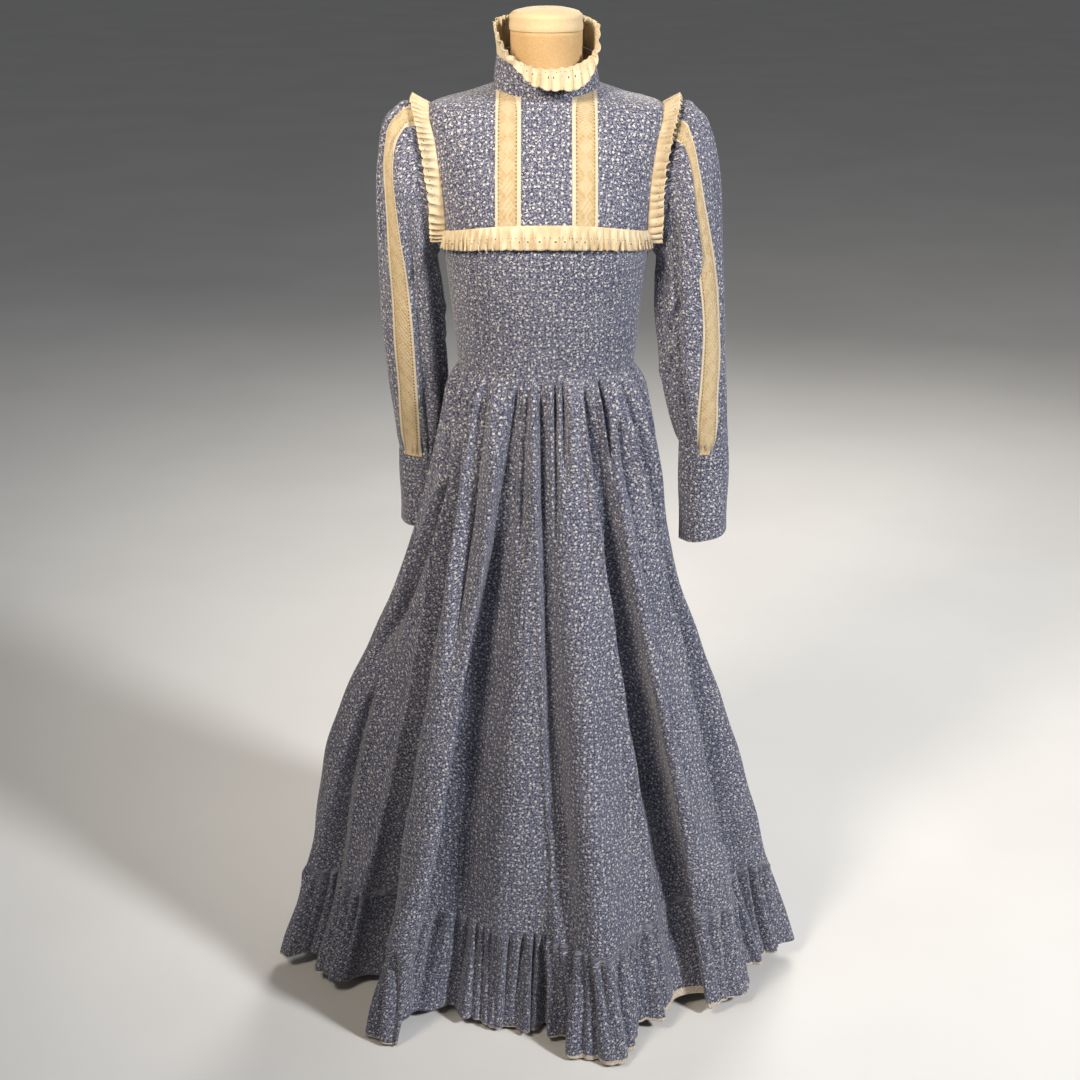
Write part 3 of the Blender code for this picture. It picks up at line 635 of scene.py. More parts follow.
def bodice_panel(name, node, level_start, level_stop, left_edge, right_edge, rows, columns, darts=(),
                 lift=0.0, shift=(0.0, 0.0), drape=None, skewed=False):
    """A piece of the bodice between two edges, each an angle at a level."""
    level = (level_start + (level_stop - level_start) * spread(rows))[:, None]
    left, right = left_edge(level), right_edge(level)
    angle = left + (right - left) * spread(columns)[None]
    points = figure(angle, level)
    out = outward(figure, angle, np.minimum(level, NECK - 0.03))
    proud = lift - dart_depth(darts, points, level)
    if drape is not None:
        proud = proud + drape(points, level)
    points = points + out * proud[..., None]
    made = sewn(name, points, COTTON_SIDES, COTTON_WALL, shift=shift)
    if skewed:
        flatten(made)
    put_on(made, "printed_cotton", node)
    return made


def eased(points, level):
    """Small puckers that rise from the waist seam, and the soft rumple of worn cotton."""
    x, z = points[..., 0], points[..., 2]
    puckers = np.sin(x * 610 + 2.2 * np.sin(x * 95)) * np.clip(1 - level / 0.55, 0, 1)
    rumple = np.sin(31 * x + 17 * z) * np.sin(13 * x - 39 * z + 1.3)
    return PUCKER_DEPTH * puckers + MIDRIFF_RUMPLE * rumple * np.clip(level * 2, 0, 1)


def rumpled(points, level):
    x, z = points[..., 0], points[..., 2]
    return YOKE_RUMPLE * np.sin(27 * x + 23 * z + 0.6) * np.sin(19 * x - 33 * z)


def build_bodice():
    midriff = bodice_panel("midriff", "midriff_front", 0.0, MIDRIFF_TOP,
                           lambda v: -armhole_angle(v), armhole_angle, 60, 170, FRONT_DARTS,
                           drape=eased, shift=(0.4, 0.1))
    centre = bodice_panel("yoke_centre", "yoke_front_centre", YOKE_SEAM, BODICE_TOP,
                          lambda v: angle_at(-INSERT_INNER, v), lambda v: angle_at(INSERT_INNER, v),
                          70, 44, drape=rumpled, shift=(0.9, 0.4))
    left = bodice_panel("yoke_left", "yoke_front_left", YOKE_SEAM, BODICE_TOP,
                        lambda v: -armhole_angle(v), lambda v: angle_at(-INSERT_OUTER, v),
                        70, 50, drape=rumpled, skewed=True)
    right = bodice_panel("yoke_right", "yoke_front_right", YOKE_SEAM, BODICE_TOP,
                         lambda v: angle_at(INSERT_OUTER, v), armhole_angle,
                         70, 50, drape=rumpled, skewed=True)
    for name, node, edges in (
            ("back_half_right", "back_right", (lambda v: 180 - armhole_angle(v), lambda v: 0 * v + 179.95)),
            ("back_half_left", "back_left", (lambda v: 0 * v - 179.95, lambda v: armhole_angle(v) - 180))):
        half = bodice_panel(name, node, 0.0, BODICE_TOP, *edges, 96, 60, BACK_DARTS, drape=eased,
                            skewed=True)


build_bodice()


# ==== The lace insertions ==================================================================
# Flat cotton lace is let into the yoke, and down each sleeve: cream selvages with a row of
# pinholes beside them, and a net of diamonds between, sewn in along both edges. The net's golden
# tan is partly the lace's own colour and partly painted shade of what lies behind it.
LACE_WALL = 0.0006
LACE_WIDTH = 0.0355
NET_PITCH = 0.0062
PINHOLE_PITCH = 0.0056
MEDALLION_PITCH = 0.028
MESH_PITCH = 0.0021
THREAD_RADIUS = 0.00034
CORD_PLACE = 0.0016      # how far in from the lace's edge its cord, its pinholes and its net lie
PINHOLE_PLACE = 0.0056
NET_PLACE = 0.0078
SELVAGE_EDGE = (0.0046, 0.0040)    # in from the lace's edge, where the selvage fades into the ground
PINHOLE_EDGE = (0.0014, 0.0009)
MEDALLION_HALF = (0.0012, 0.0092)  # half the width of the medallions, where narrowest and widest
MEDALLION_BLUR = 0.0008
CORD_LIFT = 0.0005                 # how far the threads' middles stand off the lace
RING_LIFT = 0.0004
NET_LIFT = 0.00045
NET_CROSSING = 0.0002
PINHOLE_RING = 0.0013
PINHOLE_THREAD = 0.00030
THREAD_STEP = 0.004
YOKE_LACE_LENGTH = 0.178
# The lace ground's golden tan: the lace's own colour mixed with painted shade showing through its net.
LACE_GROUND_WITH_SHADE = (0.42, 0.30, 0.145)
PALE_LACE_GROUND_WITH_SHADE = (0.50, 0.38, 0.21)
MEDALLION = (0.54, 0.45, 0.29)
# Painted shade: the net's openings and the pinholes are not cut but painted dark, as the shade behind them.
NET_OPENING_PAINTED_SHADE = (0.29, 0.18, 0.08)
SELVAGE = (0.53, 0.46, 0.35)
PINHOLE_PAINTED_SHADE = (0.10, 0.065, 0.045)
THREAD = (0.51, 0.41, 0.26)
PALE_THREAD = (0.58, 0.50, 0.35)


def lace_material():
    made, tree, shader = new_material("insertion_lace", roughness=0.9, sheen=0.2)
    place = cloth_place(tree)
    parts = add(tree, "ShaderNodeSeparateXYZ", {0: place})
    across, along = maths(tree, "ABSOLUTE", parts.outputs["X"]), parts.outputs["Y"]
    selvage = step(tree, across, *(LACE_WIDTH / 2 - inwards for inwards in SELVAGE_EDGE))
    beat = maths(tree, "COSINE", maths(tree, "MULTIPLY", along, 2 * math.pi / PINHOLE_PITCH))
    from_row = maths(tree, "SUBTRACT", across, LACE_WIDTH / 2 - PINHOLE_PLACE)
    row = step(tree, maths(tree, "ABSOLUTE", from_row), *PINHOLE_EDGE)
    holes = maths(tree, "MULTIPLY", row, step(tree, beat, 0.05, 0.45))
    net_place = add(tree, "ShaderNodeMapping", {"Vector": place, "Rotation": (0, 0, math.radians(45))})
    net = add(tree, "ShaderNodeTexVoronoi",
              {"Vector": net_place.outputs[0], "Scale": 1 / MESH_PITCH, "Randomness": 0.25},
              voronoi_dimensions="2D", feature="DISTANCE_TO_EDGE").outputs["Distance"]
    meshes = step(tree, net, 0.10, 0.22)
    mottled = step(tree, noise(tree, place, scale=70.0, detail=3.0), 0.35, 0.7)
    # The ground is partly the lace's own colour and partly painted shade seen through the net.
    ground = blend(tree, mottled, LACE_GROUND_WITH_SHADE, PALE_LACE_GROUND_WITH_SHADE)
    turn = maths(tree, "COSINE", maths(tree, "MULTIPLY", along, 2 * math.pi / MEDALLION_PITCH))
    narrow, wide = MEDALLION_HALF
    bound = add(tree, "ShaderNodeMapRange", {
        "Value": turn, "From Min": -1.0, "To Min": narrow, "To Max": wide}).outputs[0]
    medallion = step(tree, maths(tree, "SUBTRACT", across, bound), MEDALLION_BLUR, -MEDALLION_BLUR)
    ground = blend(tree, maths(tree, "MULTIPLY", medallion, 0.7), ground, MEDALLION)
    # Painted shade in the net's openings.
    ground = blend(tree, maths(tree, "MULTIPLY", meshes, 0.45), ground, NET_OPENING_PAINTED_SHADE)
    colour = blend(tree, selvage, ground, SELVAGE)
    # Painted shade in the pinholes, which are not cut.
    colour = blend(tree, holes, colour, PINHOLE_PAINTED_SHADE)
    tree.links.new(colour, shader.inputs["Base Color"])
    raised = maths(tree, "SUBTRACT", selvage, maths(tree, "MULTIPLY", meshes, 0.5))
    emboss(tree, shader, maths(tree, "SUBTRACT", raised, holes), distance=0.0005, strength=0.8)
    return made


def thread_material():
    made, tree, shader = new_material("lace_thread", roughness=0.85, sheen=0.25)
    place = add(tree, "ShaderNodeTexCoord").outputs["Object"]
    uneven = step(tree, noise(tree, place, scale=160.0, detail=2.0), 0.3, 0.7)
    tree.links.new(blend(tree, uneven, THREAD, PALE_THREAD), shader.inputs["Base Color"])
    emboss(tree, shader, noise(tree, place, scale=2600.0), distance=0.0001, strength=0.5)
    return made


lace, thread = lace_material(), thread_material()


def polylines(name, lines, normals):
    """Open lines of points as one mesh of edges, each point with the cloth's normal there."""
    starts = np.cumsum([0] + [len(line) for line in lines])
    edges = [(s + k, s + k + 1) for s, line in zip(starts, lines) for k in range(len(line) - 1)]
    mesh = bpy.data.meshes.new(name)
    mesh.from_pydata(np.concatenate(lines).tolist(), edges, [])
    held = mesh.attributes.new("cloth_normal", "FLOAT_VECTOR", "POINT")
    held.data.foreach_set("vector", np.concatenate(normals).astype(np.float32).ravel())
    made = bpy.data.objects.new(name, mesh)
    bpy.context.scene.collection.objects.link(made)
    return made


def geometry_tree(name, inputs):
    tree = bpy.data.node_groups.new(name, "GeometryNodeTree")
    tree.interface.new_socket("Geometry", in_out="INPUT", socket_type="NodeSocketGeometry")
    sockets = {n: tree.interface.new_socket(n, in_out="INPUT", socket_type=kind) for n, kind in inputs}
    tree.interface.new_socket("Geometry", in_out="OUTPUT", socket_type="NodeSocketGeometry")
    given, result = tree.nodes.new("NodeGroupInput"), tree.nodes.new("NodeGroupOutput")
    return tree, given, result, {n: s.identifier for n, s in sockets.items()}


def build_thread_tree():
    """A round thread laid along each line of its object."""
    tree, given, result, names = geometry_tree(
        "thread_along_lines", [("Radius", "NodeSocketFloat"), ("Finish", "NodeSocketMaterial")])
    line = add(tree, "GeometryNodeMeshToCurve", {0: given.outputs["Geometry"]})
    section = add(tree, "GeometryNodeCurvePrimitiveCircle",
                  {"Resolution": 3, "Radius": given.outputs["Radius"]})
    tube = add(tree, "GeometryNodeCurveToMesh",
               {0: line.outputs[0], 1: section.outputs[0], "Fill Caps": True})
    real = add(tree, "GeometryNodeRealizeInstances", {0: tube.outputs[0]})
    done = add(tree, "GeometryNodeSetMaterial",
               {"Geometry": real.outputs[0], "Material": given.outputs["Finish"]})
    tree.links.new(done.outputs[0], result.inputs[0])
    return tree, names


def build_repeat_tree():
    """One small shape set down again and again along each line of its object, flat on the cloth."""
    tree, given, result, names = geometry_tree(
        "shapes_along_lines", [("Spacing", "NodeSocketFloat"), ("Shape", "NodeSocketObject"),
                               ("Finish", "NodeSocketMaterial")])
    line = add(tree, "GeometryNodeMeshToCurve", {0: given.outputs["Geometry"]})
    places = add(tree, "GeometryNodeResampleCurve",
                 {"Curve": line.outputs[0], "Length": given.outputs["Spacing"]}, mode="LENGTH")
    normal = add(tree, "GeometryNodeInputNamedAttribute", {"Name": "cloth_normal"},
                 data_type="FLOAT_VECTOR")
    heading = add(tree, "GeometryNodeInputTangent")
    turn = add(tree, "FunctionNodeAxesToRotation", {0: normal.outputs[0], 1: heading.outputs[0]},
               primary_axis="Z", secondary_axis="X")
    shape = add(tree, "GeometryNodeObjectInfo", {"Object": given.outputs["Shape"]})
    set_down = add(tree, "GeometryNodeInstanceOnPoints", {
        "Points": places.outputs[0], "Instance": shape.outputs["Geometry"], "Rotation": turn.outputs[0]})
    real = add(tree, "GeometryNodeRealizeInstances", {0: set_down.outputs[0]})
    done = add(tree, "GeometryNodeSetMaterial",
               {"Geometry": real.outputs[0], "Material": given.outputs["Finish"]})
    tree.links.new(done.outputs[0], result.inputs[0])
    return tree, names


thread_tree, thread_inputs = build_thread_tree()
repeat_tree, repeat_inputs = build_repeat_tree()


def grow(lines, tree, names, values, finished_name):
    """Runs a tree on an object of lines, and keeps the result as a plain mesh in its place."""
    modifier = lines.modifiers.new("grow", "NODES")
    modifier.node_group = tree
    for name, value in values.items():
        modifier[names[name]] = value
    bpy.context.view_layer.update()
    grown = bpy.data.meshes.new_from_object(lines.evaluated_get(bpy.context.evaluated_depsgraph_get()))
    bpy.data.objects.remove(lines, do_unlink=True)
    grown.name = finished_name
    grown.shade_smooth()
    made = bpy.data.objects.new(finished_name, grown)
    bpy.context.scene.collection.objects.link(made)
    return made


def small_ring(name, reach, thickness, sides=7, section=3):
    """A small worked ring, flat in X and Y, as the shape of an eyelet's or a pinhole's edge."""
    turn, roll = np.arange(sides) * 2 * math.pi / sides, np.arange(section) * 2 * math.pi / section
    out = reach + thickness * np.cos(roll)[None]
    points = np.stack([out * np.cos(turn)[:, None], out * np.sin(turn)[:, None],
                       np.repeat(thickness * np.sin(roll)[None], sides, 0)], -1)
    index = np.arange(sides * section).reshape(sides, section)
    near, far = index, np.roll(index, -1, 0)
    faces = np.stack([near, far, np.roll(far, -1, 1), np.roll(near, -1, 1)], -1).reshape(-1, 4)
    mesh = bpy.data.meshes.new(name)
    mesh.from_pydata(points.reshape(-1, 3).tolist(), [], faces.tolist())
    return bpy.data.objects.new(name, mesh)


def read_grid(grid, row, column):
    """A grid of vectors, read between its points."""
    r, c = np.clip(row.astype(int), 0, grid.shape[0] - 2), np.clip(column.astype(int), 0, grid.shape[1] - 2)
    down, right = (row - r)[:, None], (column - c)[:, None]
    return ((grid[r, c] * (1 - right) + grid[r, c + 1] * right) * (1 - down)
            + (grid[r + 1, c] * (1 - right) + grid[r + 1, c + 1] * right) * down)


def on_strip(points, normals, across, along, lift):
    """Points of a strip's surface, across from -1 to 1 and along from 0 to 1, a little proud."""
    rows, columns = points.shape[:2]
    row, column = along * (rows - 1), (across + 1) / 2 * (columns - 1)
    normal = unit(read_grid(normals, row, column))
    return read_grid(points, row, column) + normal * lift, normal


def net_lines(points, normals, length, inner):
    """The slanting threads of the net, both ways, with the cloth's normals along them."""
    run = NET_PITCH / length
    reach = 2 * inner * (LACE_WIDTH / 2) / length
    for start in np.arange(-reach, 1, run):
        for sign in (-1, 1):
            t = np.linspace(0, 1, 11)
            along, across = start + t * reach, sign * (2 * t - 1) * inner
            inside = (along > 0.004) & (along < 0.996)
            if inside.sum() > 2:
                lift = NET_LIFT + NET_CROSSING * (sign > 0)
                yield on_strip(points, normals, across[inside], along[inside], lift)


def work_lace(name, points, normals, length):
    """The raised threads of one insertion: selvage cords, pinhole rings and the diamond net."""
    edge, hole, inner = (1 - place / (LACE_WIDTH / 2) for place in (CORD_PLACE, PINHOLE_PLACE, NET_PLACE))
    steps = np.linspace(0.002, 0.998, max(int(length / THREAD_STEP), 12))
    threads = [on_strip(points, normals, np.full_like(steps, across), steps, CORD_LIFT)
               for across in (-edge, edge, -inner, inner)]
    threads += net_lines(points, normals, length, inner)
    net = grow(polylines(name + "_lines", *zip(*threads)), thread_tree, thread_inputs,
               {"Radius": THREAD_RADIUS, "Finish": thread}, name + "_net")
    rows = [on_strip(points, normals, np.full_like(steps, side * hole), steps, RING_LIFT)
            for side in (-1, 1)]
    ring = small_ring("pinhole_ring", PINHOLE_RING, PINHOLE_THREAD)
    rings = grow(polylines(name + "_holes", *zip(*rows)), repeat_tree, repeat_inputs,
                 {"Spacing": PINHOLE_PITCH, "Shape": ring, "Finish": thread}, name + "_pinholes")
    bpy.data.objects.remove(ring, do_unlink=True)
    for part in (net, rings):
        put_on(part, "cotton_lace")
    return [net, rings]


def build_yoke_lace():
    for side, sign in (("left", -1), ("right", 1)):
        level = (YOKE_SEAM + (BODICE_TOP - YOKE_SEAM) * spread(70))[:, None]
        inner, outer = angle_at(sign * INSERT_INNER, level), angle_at(sign * INSERT_OUTER, level)
        start, stop = (outer, inner) if sign < 0 else (inner, outer)
        angle = start + (stop - start) * spread(14, 0.01)[None]
        points = figure(angle, level)
        strip = sewn("yoke_insertion_" + side, points, [lace], LACE_WALL)
        put_on(strip, "cotton_lace", "yoke_lace_" + side)
        work = work_lace("yoke_insertion_" + side, points, grid_normals(points),
                         YOKE_LACE_LENGTH)


build_yoke_lace()


# ==== The back placket and its buttons =====================================================
# The back closes from waist to neck with a lapped placket of the same cotton and eight small
# shell buttons, one more on the band. Each is sewn through two holes and stays fastened.
PLACKET_HALF = 0.012
LAP = 0.0022
BUTTON_SIDES = 28
BUTTON_PROFILE = (       # radius, and height above the button's middle, from its back to its front
    (0.0001, -0.0013),
    (0.0046, -0.0013),
    (0.0053, -0.0008),
    (0.0055, 0.0003),
    (0.0053, 0.0010),
    (0.0048, 0.0013),
    (0.0042, 0.0012),
    (0.0036, 0.0007),
    (0.0020, 0.0004),
    (0.0001, 0.0004),
)
STITCH_LIFT = 0.0008     # how far the sewing stands off the button's middle, and how far it bows
STITCH_BOW = 0.0005
STITCH_REACH = 0.0011
STITCH_APART = 0.0005
SEWING_RADIUS = 0.0003
SHELL = (0.80, 0.74, 0.64)
PALE_SHELL = (0.88, 0.87, 0.84)


def shell_material():
    """Polished shell: pale, with a pearly drift of colour and fine growth lines."""
    made, tree, shader = new_material("button_shell", roughness=0.22, specular=0.5)
    shader.inputs["Coat Weight"].default_value = 0.4
    place = add(tree, "ShaderNodeTexCoord").outputs["Object"]
    drift = step(tree, noise(tree, place, scale=190.0, detail=3.0), 0.3, 0.7)
    tree.links.new(blend(tree, drift, SHELL, PALE_SHELL), shader.inputs["Base Color"])
    emboss(tree, shader, noise(tree, place, scale=900.0), distance=0.0001, strength=0.3)
    return made


def volume_of(made):
    """Six times the signed volume inside a closed mesh, below 0 where it is inside out."""
    mesh = made.data
    mesh.calc_loop_triangles()
    points = np.array([v.co for v in mesh.vertices])
    corners = points[np.array([t.vertices[:] for t in mesh.loop_triangles])]
    return float(np.einsum("ij,ij->i", corners[:, 0], np.cross(corners[:, 1], corners[:, 2])).sum())


def build_button(name, node, shell):
    """A turned button with a raised rim, sewn on through its middle, where its plain solid lies."""
    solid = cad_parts[node]
    corners = np.array([v.co for v in solid.data.vertices])
    centre = corners.mean(0)
    axis = np.linalg.svd(corners - centre)[2][2]
    axis = axis * (1 if axis @ np.array([0, 1, 0]) > 0 else -1)
    side = unit(np.cross(axis, np.array([0.0, 0, 1])))
    up = np.cross(side, axis)
    turn = np.arange(BUTTON_SIDES) * 2 * math.pi / BUTTON_SIDES
    spokes = np.cos(turn)[:, None] * side + np.sin(turn)[:, None] * up
    rings = [centre + axis * height + radius * spokes for radius, height in BUTTON_PROFILE]
    made = solid_of_rings(name, rings, shell)
    if volume_of(made) < 0:
        made.data.flip_normals()
    along = np.linspace(-1, 1, 5)[:, None]
    stitch = centre + axis * (STITCH_LIFT + STITCH_BOW * (1 - along**2)) + side * STITCH_REACH * along
    stitches = [stitch + up * k * STITCH_APART for k in (-1, 1)]
    facing = [np.repeat(axis[None], len(along), 0)] * 2
    sewing = grow(polylines(name + "_thread", stitches, facing), thread_tree, thread_inputs,
                  {"Radius": SEWING_RADIUS, "Finish": thread}, name + "_sewing")
    put_on(made, "button_shell", node)
    put_on(sewing, "button_shell")


def build_placket():
    placket = bodice_panel("placket", "back_placket", 0.0, BODICE_TOP,
                           lambda v: 180 - angle_at(PLACKET_HALF, v),
                           lambda v: 180 + angle_at(PLACKET_HALF, v),
                           110, 16, lift=LAP, shift=(4.1, 0.3))
    shell = shell_material()
    for k in range(1, 9):
        build_button("shell_button_%d" % k, "back_button_%d" % k, shell)
    build_button("band_button", "collar_button", shell)


build_placket()


# ==== The collar ===========================================================================
# A stand band of the printed cotton, in one piece round the neck, edged with gathered eyelet
# frilling. The frill stands up at the sides and back and rolls over and down at the front.
COLLAR = (
    ("band_foot", 1.4586, 1.4697, 1.4837, 0.0742, 0.0655, 0.0655, 0.012, 2.0),
    ("band_top", 1.492, 1.512, 1.524, 0.0695, 0.062, 0.063, 0.009, 2.0),
    ("frill_roll", 1.499, 1.535, 1.545, 0.0695, 0.070, 0.067, 0.007, 2.0),
    ("frill_edge", 1.480, 1.553, 1.561, 0.0700, 0.084, 0.071, 0.005, 2.0),
)
EYELET_PITCH = 0.0160
EYELET_FULLNESS = 1.7
FRILL_WALL = 0.0006
SCALLOP_DEPTH = 0.0024
COLLAR_ROUND = 0.44
COLLAR_FRILL_DEPTH = 0.030
COLLAR_FRILL_LIFT = 0.0009
BAND_RUMPLE = 0.0008
BAND_DRAG = 0.0006
DROOP = (0.0022, 0.0018)               # two slow waves in the frill's height
FLOP_OUT = 0.0100                      # at the front, where it rolls over and down
FLOP_DOWN = 0.033
LEAN_OUT = 0.0045                      # at the left, where it only leans out
EYELET = (0.0, 0.0085, 0.0011)         # across the repeat, above the free edge, radius
EYELET_PAIR = (0.0042, 0.0130, 0.0008)
EDGING = (0.47, 0.36, 0.22)
PALE_EDGING = (0.56, 0.48, 0.34)
WORKED_EDGING = (0.60, 0.52, 0.38)
# Painted shade for the eyelets' holes, which are not cut.
EYELET_PAINTED_SHADE = (0.15, 0.095, 0.055)


def eyelet_masks(tree, x, y, across, height, radius):
    """An eyelet and its mirror image: how far a place is in the hole, and in the ring round it."""
    from_it = add(tree, "ShaderNodeCombineXYZ", {
        0: maths(tree, "SUBTRACT", maths(tree, "ABSOLUTE", x), across),
        1: maths(tree, "SUBTRACT", y, height)}).outputs[0]
    reach = add(tree, "ShaderNodeVectorMath", {0: from_it}, operation="LENGTH").outputs["Value"]
    return step(tree, reach, radius * 1.15, radius * 0.85), step(tree, reach, radius * 2.1, radius * 1.5)


def eyelet_material():
    """Cream cotton edging, with one worked eyelet in each repeat and a smaller pair above it. The eyelets
    are not cut: their holes are painted dark, as painted shade.
    """
    made, tree, shader = new_material("eyelet_edging", roughness=0.88, sheen=0.25)
    place = cloth_place(tree)
    parts = add(tree, "ShaderNodeSeparateXYZ", {0: place})
    along = maths(tree, "DIVIDE", parts.outputs["X"], EYELET_PITCH)
    beat = maths(tree, "SUBTRACT", maths(tree, "FRACT", along), 0.5)
    x = maths(tree, "MULTIPLY", beat, EYELET_PITCH)
    big, big_ring = eyelet_masks(tree, x, parts.outputs["Y"], *EYELET)
    pair, pair_ring = eyelet_masks(tree, x, parts.outputs["Y"], *EYELET_PAIR)
    holes = maths(tree, "MAXIMUM", big, pair)
    worked = maths(tree, "MAXIMUM", big_ring, pair_ring)
    soiled = step(tree, noise(tree, place, scale=60.0, detail=4.0), 0.3, 0.75)
    ground = blend(tree, soiled, EDGING, PALE_EDGING)
    colour = blend(tree, worked, ground, WORKED_EDGING)
    # Painted shade in the eyelets' holes, which are not cut.
    colour = blend(tree, holes, colour, EYELET_PAINTED_SHADE)
    tree.links.new(colour, shader.inputs["Base Color"])
    weave = add(tree, "ShaderNodeGroup", {"Vector": place}, node_tree=plain_weave)
    raised = maths(tree, "SUBTRACT", worked, maths(tree, "MULTIPLY", holes, 2.0))
    yarns = maths(tree, "MULTIPLY", weave.outputs["Height"], 0.15)
    emboss(tree, shader, maths(tree, "ADD", raised, yarns), distance=0.0004, strength=0.7)
    return made


eyelet = eyelet_material()


def ruffle(base, length, depth, seed, stand, sway, pitch):
    """Gathers a strip: base gives the points of rows from the sewn edge to the free one.

    stand is how far the folds rise from the cloth at the free edge and sway how far they lean
    along it. Their spacing, height and lean are uneven. Returns the points and the cloth's map.
    """
    rng = np.random.default_rng(seed)
    rows, columns = base.shape[:2]
    s = np.linspace(0, 1, columns)
    share = np.linspace(0, 1, rows)[:, None]
    count = max(int(length / pitch), 4)
    beat = np.cumsum(rng.uniform(0.65, 1.4, count + 1))
    beat = (beat - beat[0]) / (beat[-1] - beat[0])
    phase = np.interp(s, beat, np.arange(count + 1)) * 2 * math.pi
    height = np.interp(s, beat, rng.uniform(0.55, 1.25, count + 1))
    lean = np.interp(s, beat, rng.uniform(-0.9, 1.2, count + 1))
    twist = phase[None] + share * lean[None] * 0.9
    along = unit(np.gradient(base, axis=1))
    normals = grid_normals(base)
    grown = share ** 0.75
    points = base + normals * (stand * grown * height * np.cos(twist))[..., None]
    points = points + along * (sway * grown * height * np.sin(twist))[..., None]
    u = np.repeat((s * length * EYELET_FULLNESS)[None], rows, 0)
    scallop = np.abs(np.sin(math.pi * u / EYELET_PITCH)) ** 0.6
    downward = unit(np.gradient(base, axis=0))
    points = points + downward * (SCALLOP_DEPTH * scallop * share ** 5)[..., None]
    v = (1 - share) * depth + 0 * u
    return points, np.stack([u, v], -1)


def frill_piece(name, points, cloth_map, flip):
    made = lay_out(name, points, [eyelet], flip=flip, cloth_map=cloth_map)
    return thicken(made, FRILL_WALL, 0)


def collar(angle, level):
    return ring_point(read_rings(COLLAR, FIGURE_COLUMNS, level), angle)


def build_collar():
    angle = (-179.9 + 359.8 * spread(180, 0.002))[None]
    level = (1.045 * spread(26, 0.01) - 0.045)[:, None]
    points = collar(angle, level)
    out = outward(collar, angle, level)
    rumple = BAND_RUMPLE * np.sin(np.radians(angle) * 5 + 1.1 + 3 * level) * np.sin(math.pi * level)
    drag = BAND_DRAG * np.sin(np.radians(angle) * 17 + 2.0) * (1 - level) ** 2
    points = points + out * (rumple + drag)[..., None]
    band = sewn("neck_band", points, COTTON_SIDES, COTTON_WALL, shift=(5.0, 0.0))
    put_on(band, "printed_cotton", "collar_band")

    angle = (-179.8 + 359.6 * np.linspace(0, 1, 440))[None]
    level = (1.0 + 2.0 * np.linspace(0, 1, 17))[:, None]
    base = collar(angle, level)
    # The frill rolls over and down at the front, a little to the right, and leans out at the left.
    turn = np.radians(angle)
    share = (level - 1) / 2
    droop = DROOP[0] * np.sin(3 * turn + 0.8) + DROOP[1] * np.sin(5 * turn - 0.4)
    flop = np.exp(-(((angle - 46) / 34) ** 2)) * share**1.3
    lean = np.exp(-(((angle + 50) / 40) ** 2)) * share**1.3
    push = FLOP_OUT * flop + LEAN_OUT * lean
    down = droop * share - FLOP_DOWN * flop
    base = base + np.stack([push * np.sin(turn), -push * np.cos(turn), down], -1)
    base[..., 2] += COLLAR_FRILL_LIFT
    points, cloth_map = ruffle(base, COLLAR_ROUND, COLLAR_FRILL_DEPTH, 11, stand=0.0030, sway=0.0026,
                               pitch=0.012)
    frill = frill_piece("neck_frill", points, cloth_map, flip=False)
    put_on(frill, "eyelet_edging", "collar_frill")


build_collar()


# ==== The yoke frills ======================================================================
# The same eyelet edging, gathered on its straight edge: one length sewn into the seam under
# the yoke, and one into each armhole, from the yoke's corner up over the sleeve head.
FRILL_DEPTH = 0.028
BOTTOM_RUN = 0.30        # along the seam under the yoke
BOTTOM_LIFT = 0.0065     # how far the free edge stands off the midriff
BOTTOM_ABOVE = 0.02      # how far above the seam the frill is caught, and below it, in rings
BOTTOM_BELOW = 0.04
RING_HEIGHT = 0.054      # of one ring of the figure, at the yoke seam
CORNER_WRAP = 1.2        # how far round the side the frill runs past the yoke's corner, in degrees


def build_yoke_bottom_frill():
    corner = armhole_angle(float(YOKE_SEAM)) + CORNER_WRAP
    angle = (-corner + 2 * corner * np.linspace(0, 1, 460))[None]
    share = np.linspace(0, 1, 16)[:, None]
    level = YOKE_SEAM + BOTTOM_ABOVE - share * (FRILL_DEPTH / RING_HEIGHT + BOTTOM_BELOW)
    base = figure(angle, level) + outward(figure, angle, level) * (LAP + BOTTOM_LIFT * share)[..., None]
    points, cloth_map = ruffle(base, BOTTOM_RUN, FRILL_DEPTH, 5, stand=0.0042, sway=0.0030, pitch=0.0090)
    frill = frill_piece("yoke_frill_under", points[::-1], cloth_map[::-1], flip=False)
    put_on(frill, "eyelet_edging", "yoke_frill_bottom")


build_yoke_bottom_frill()


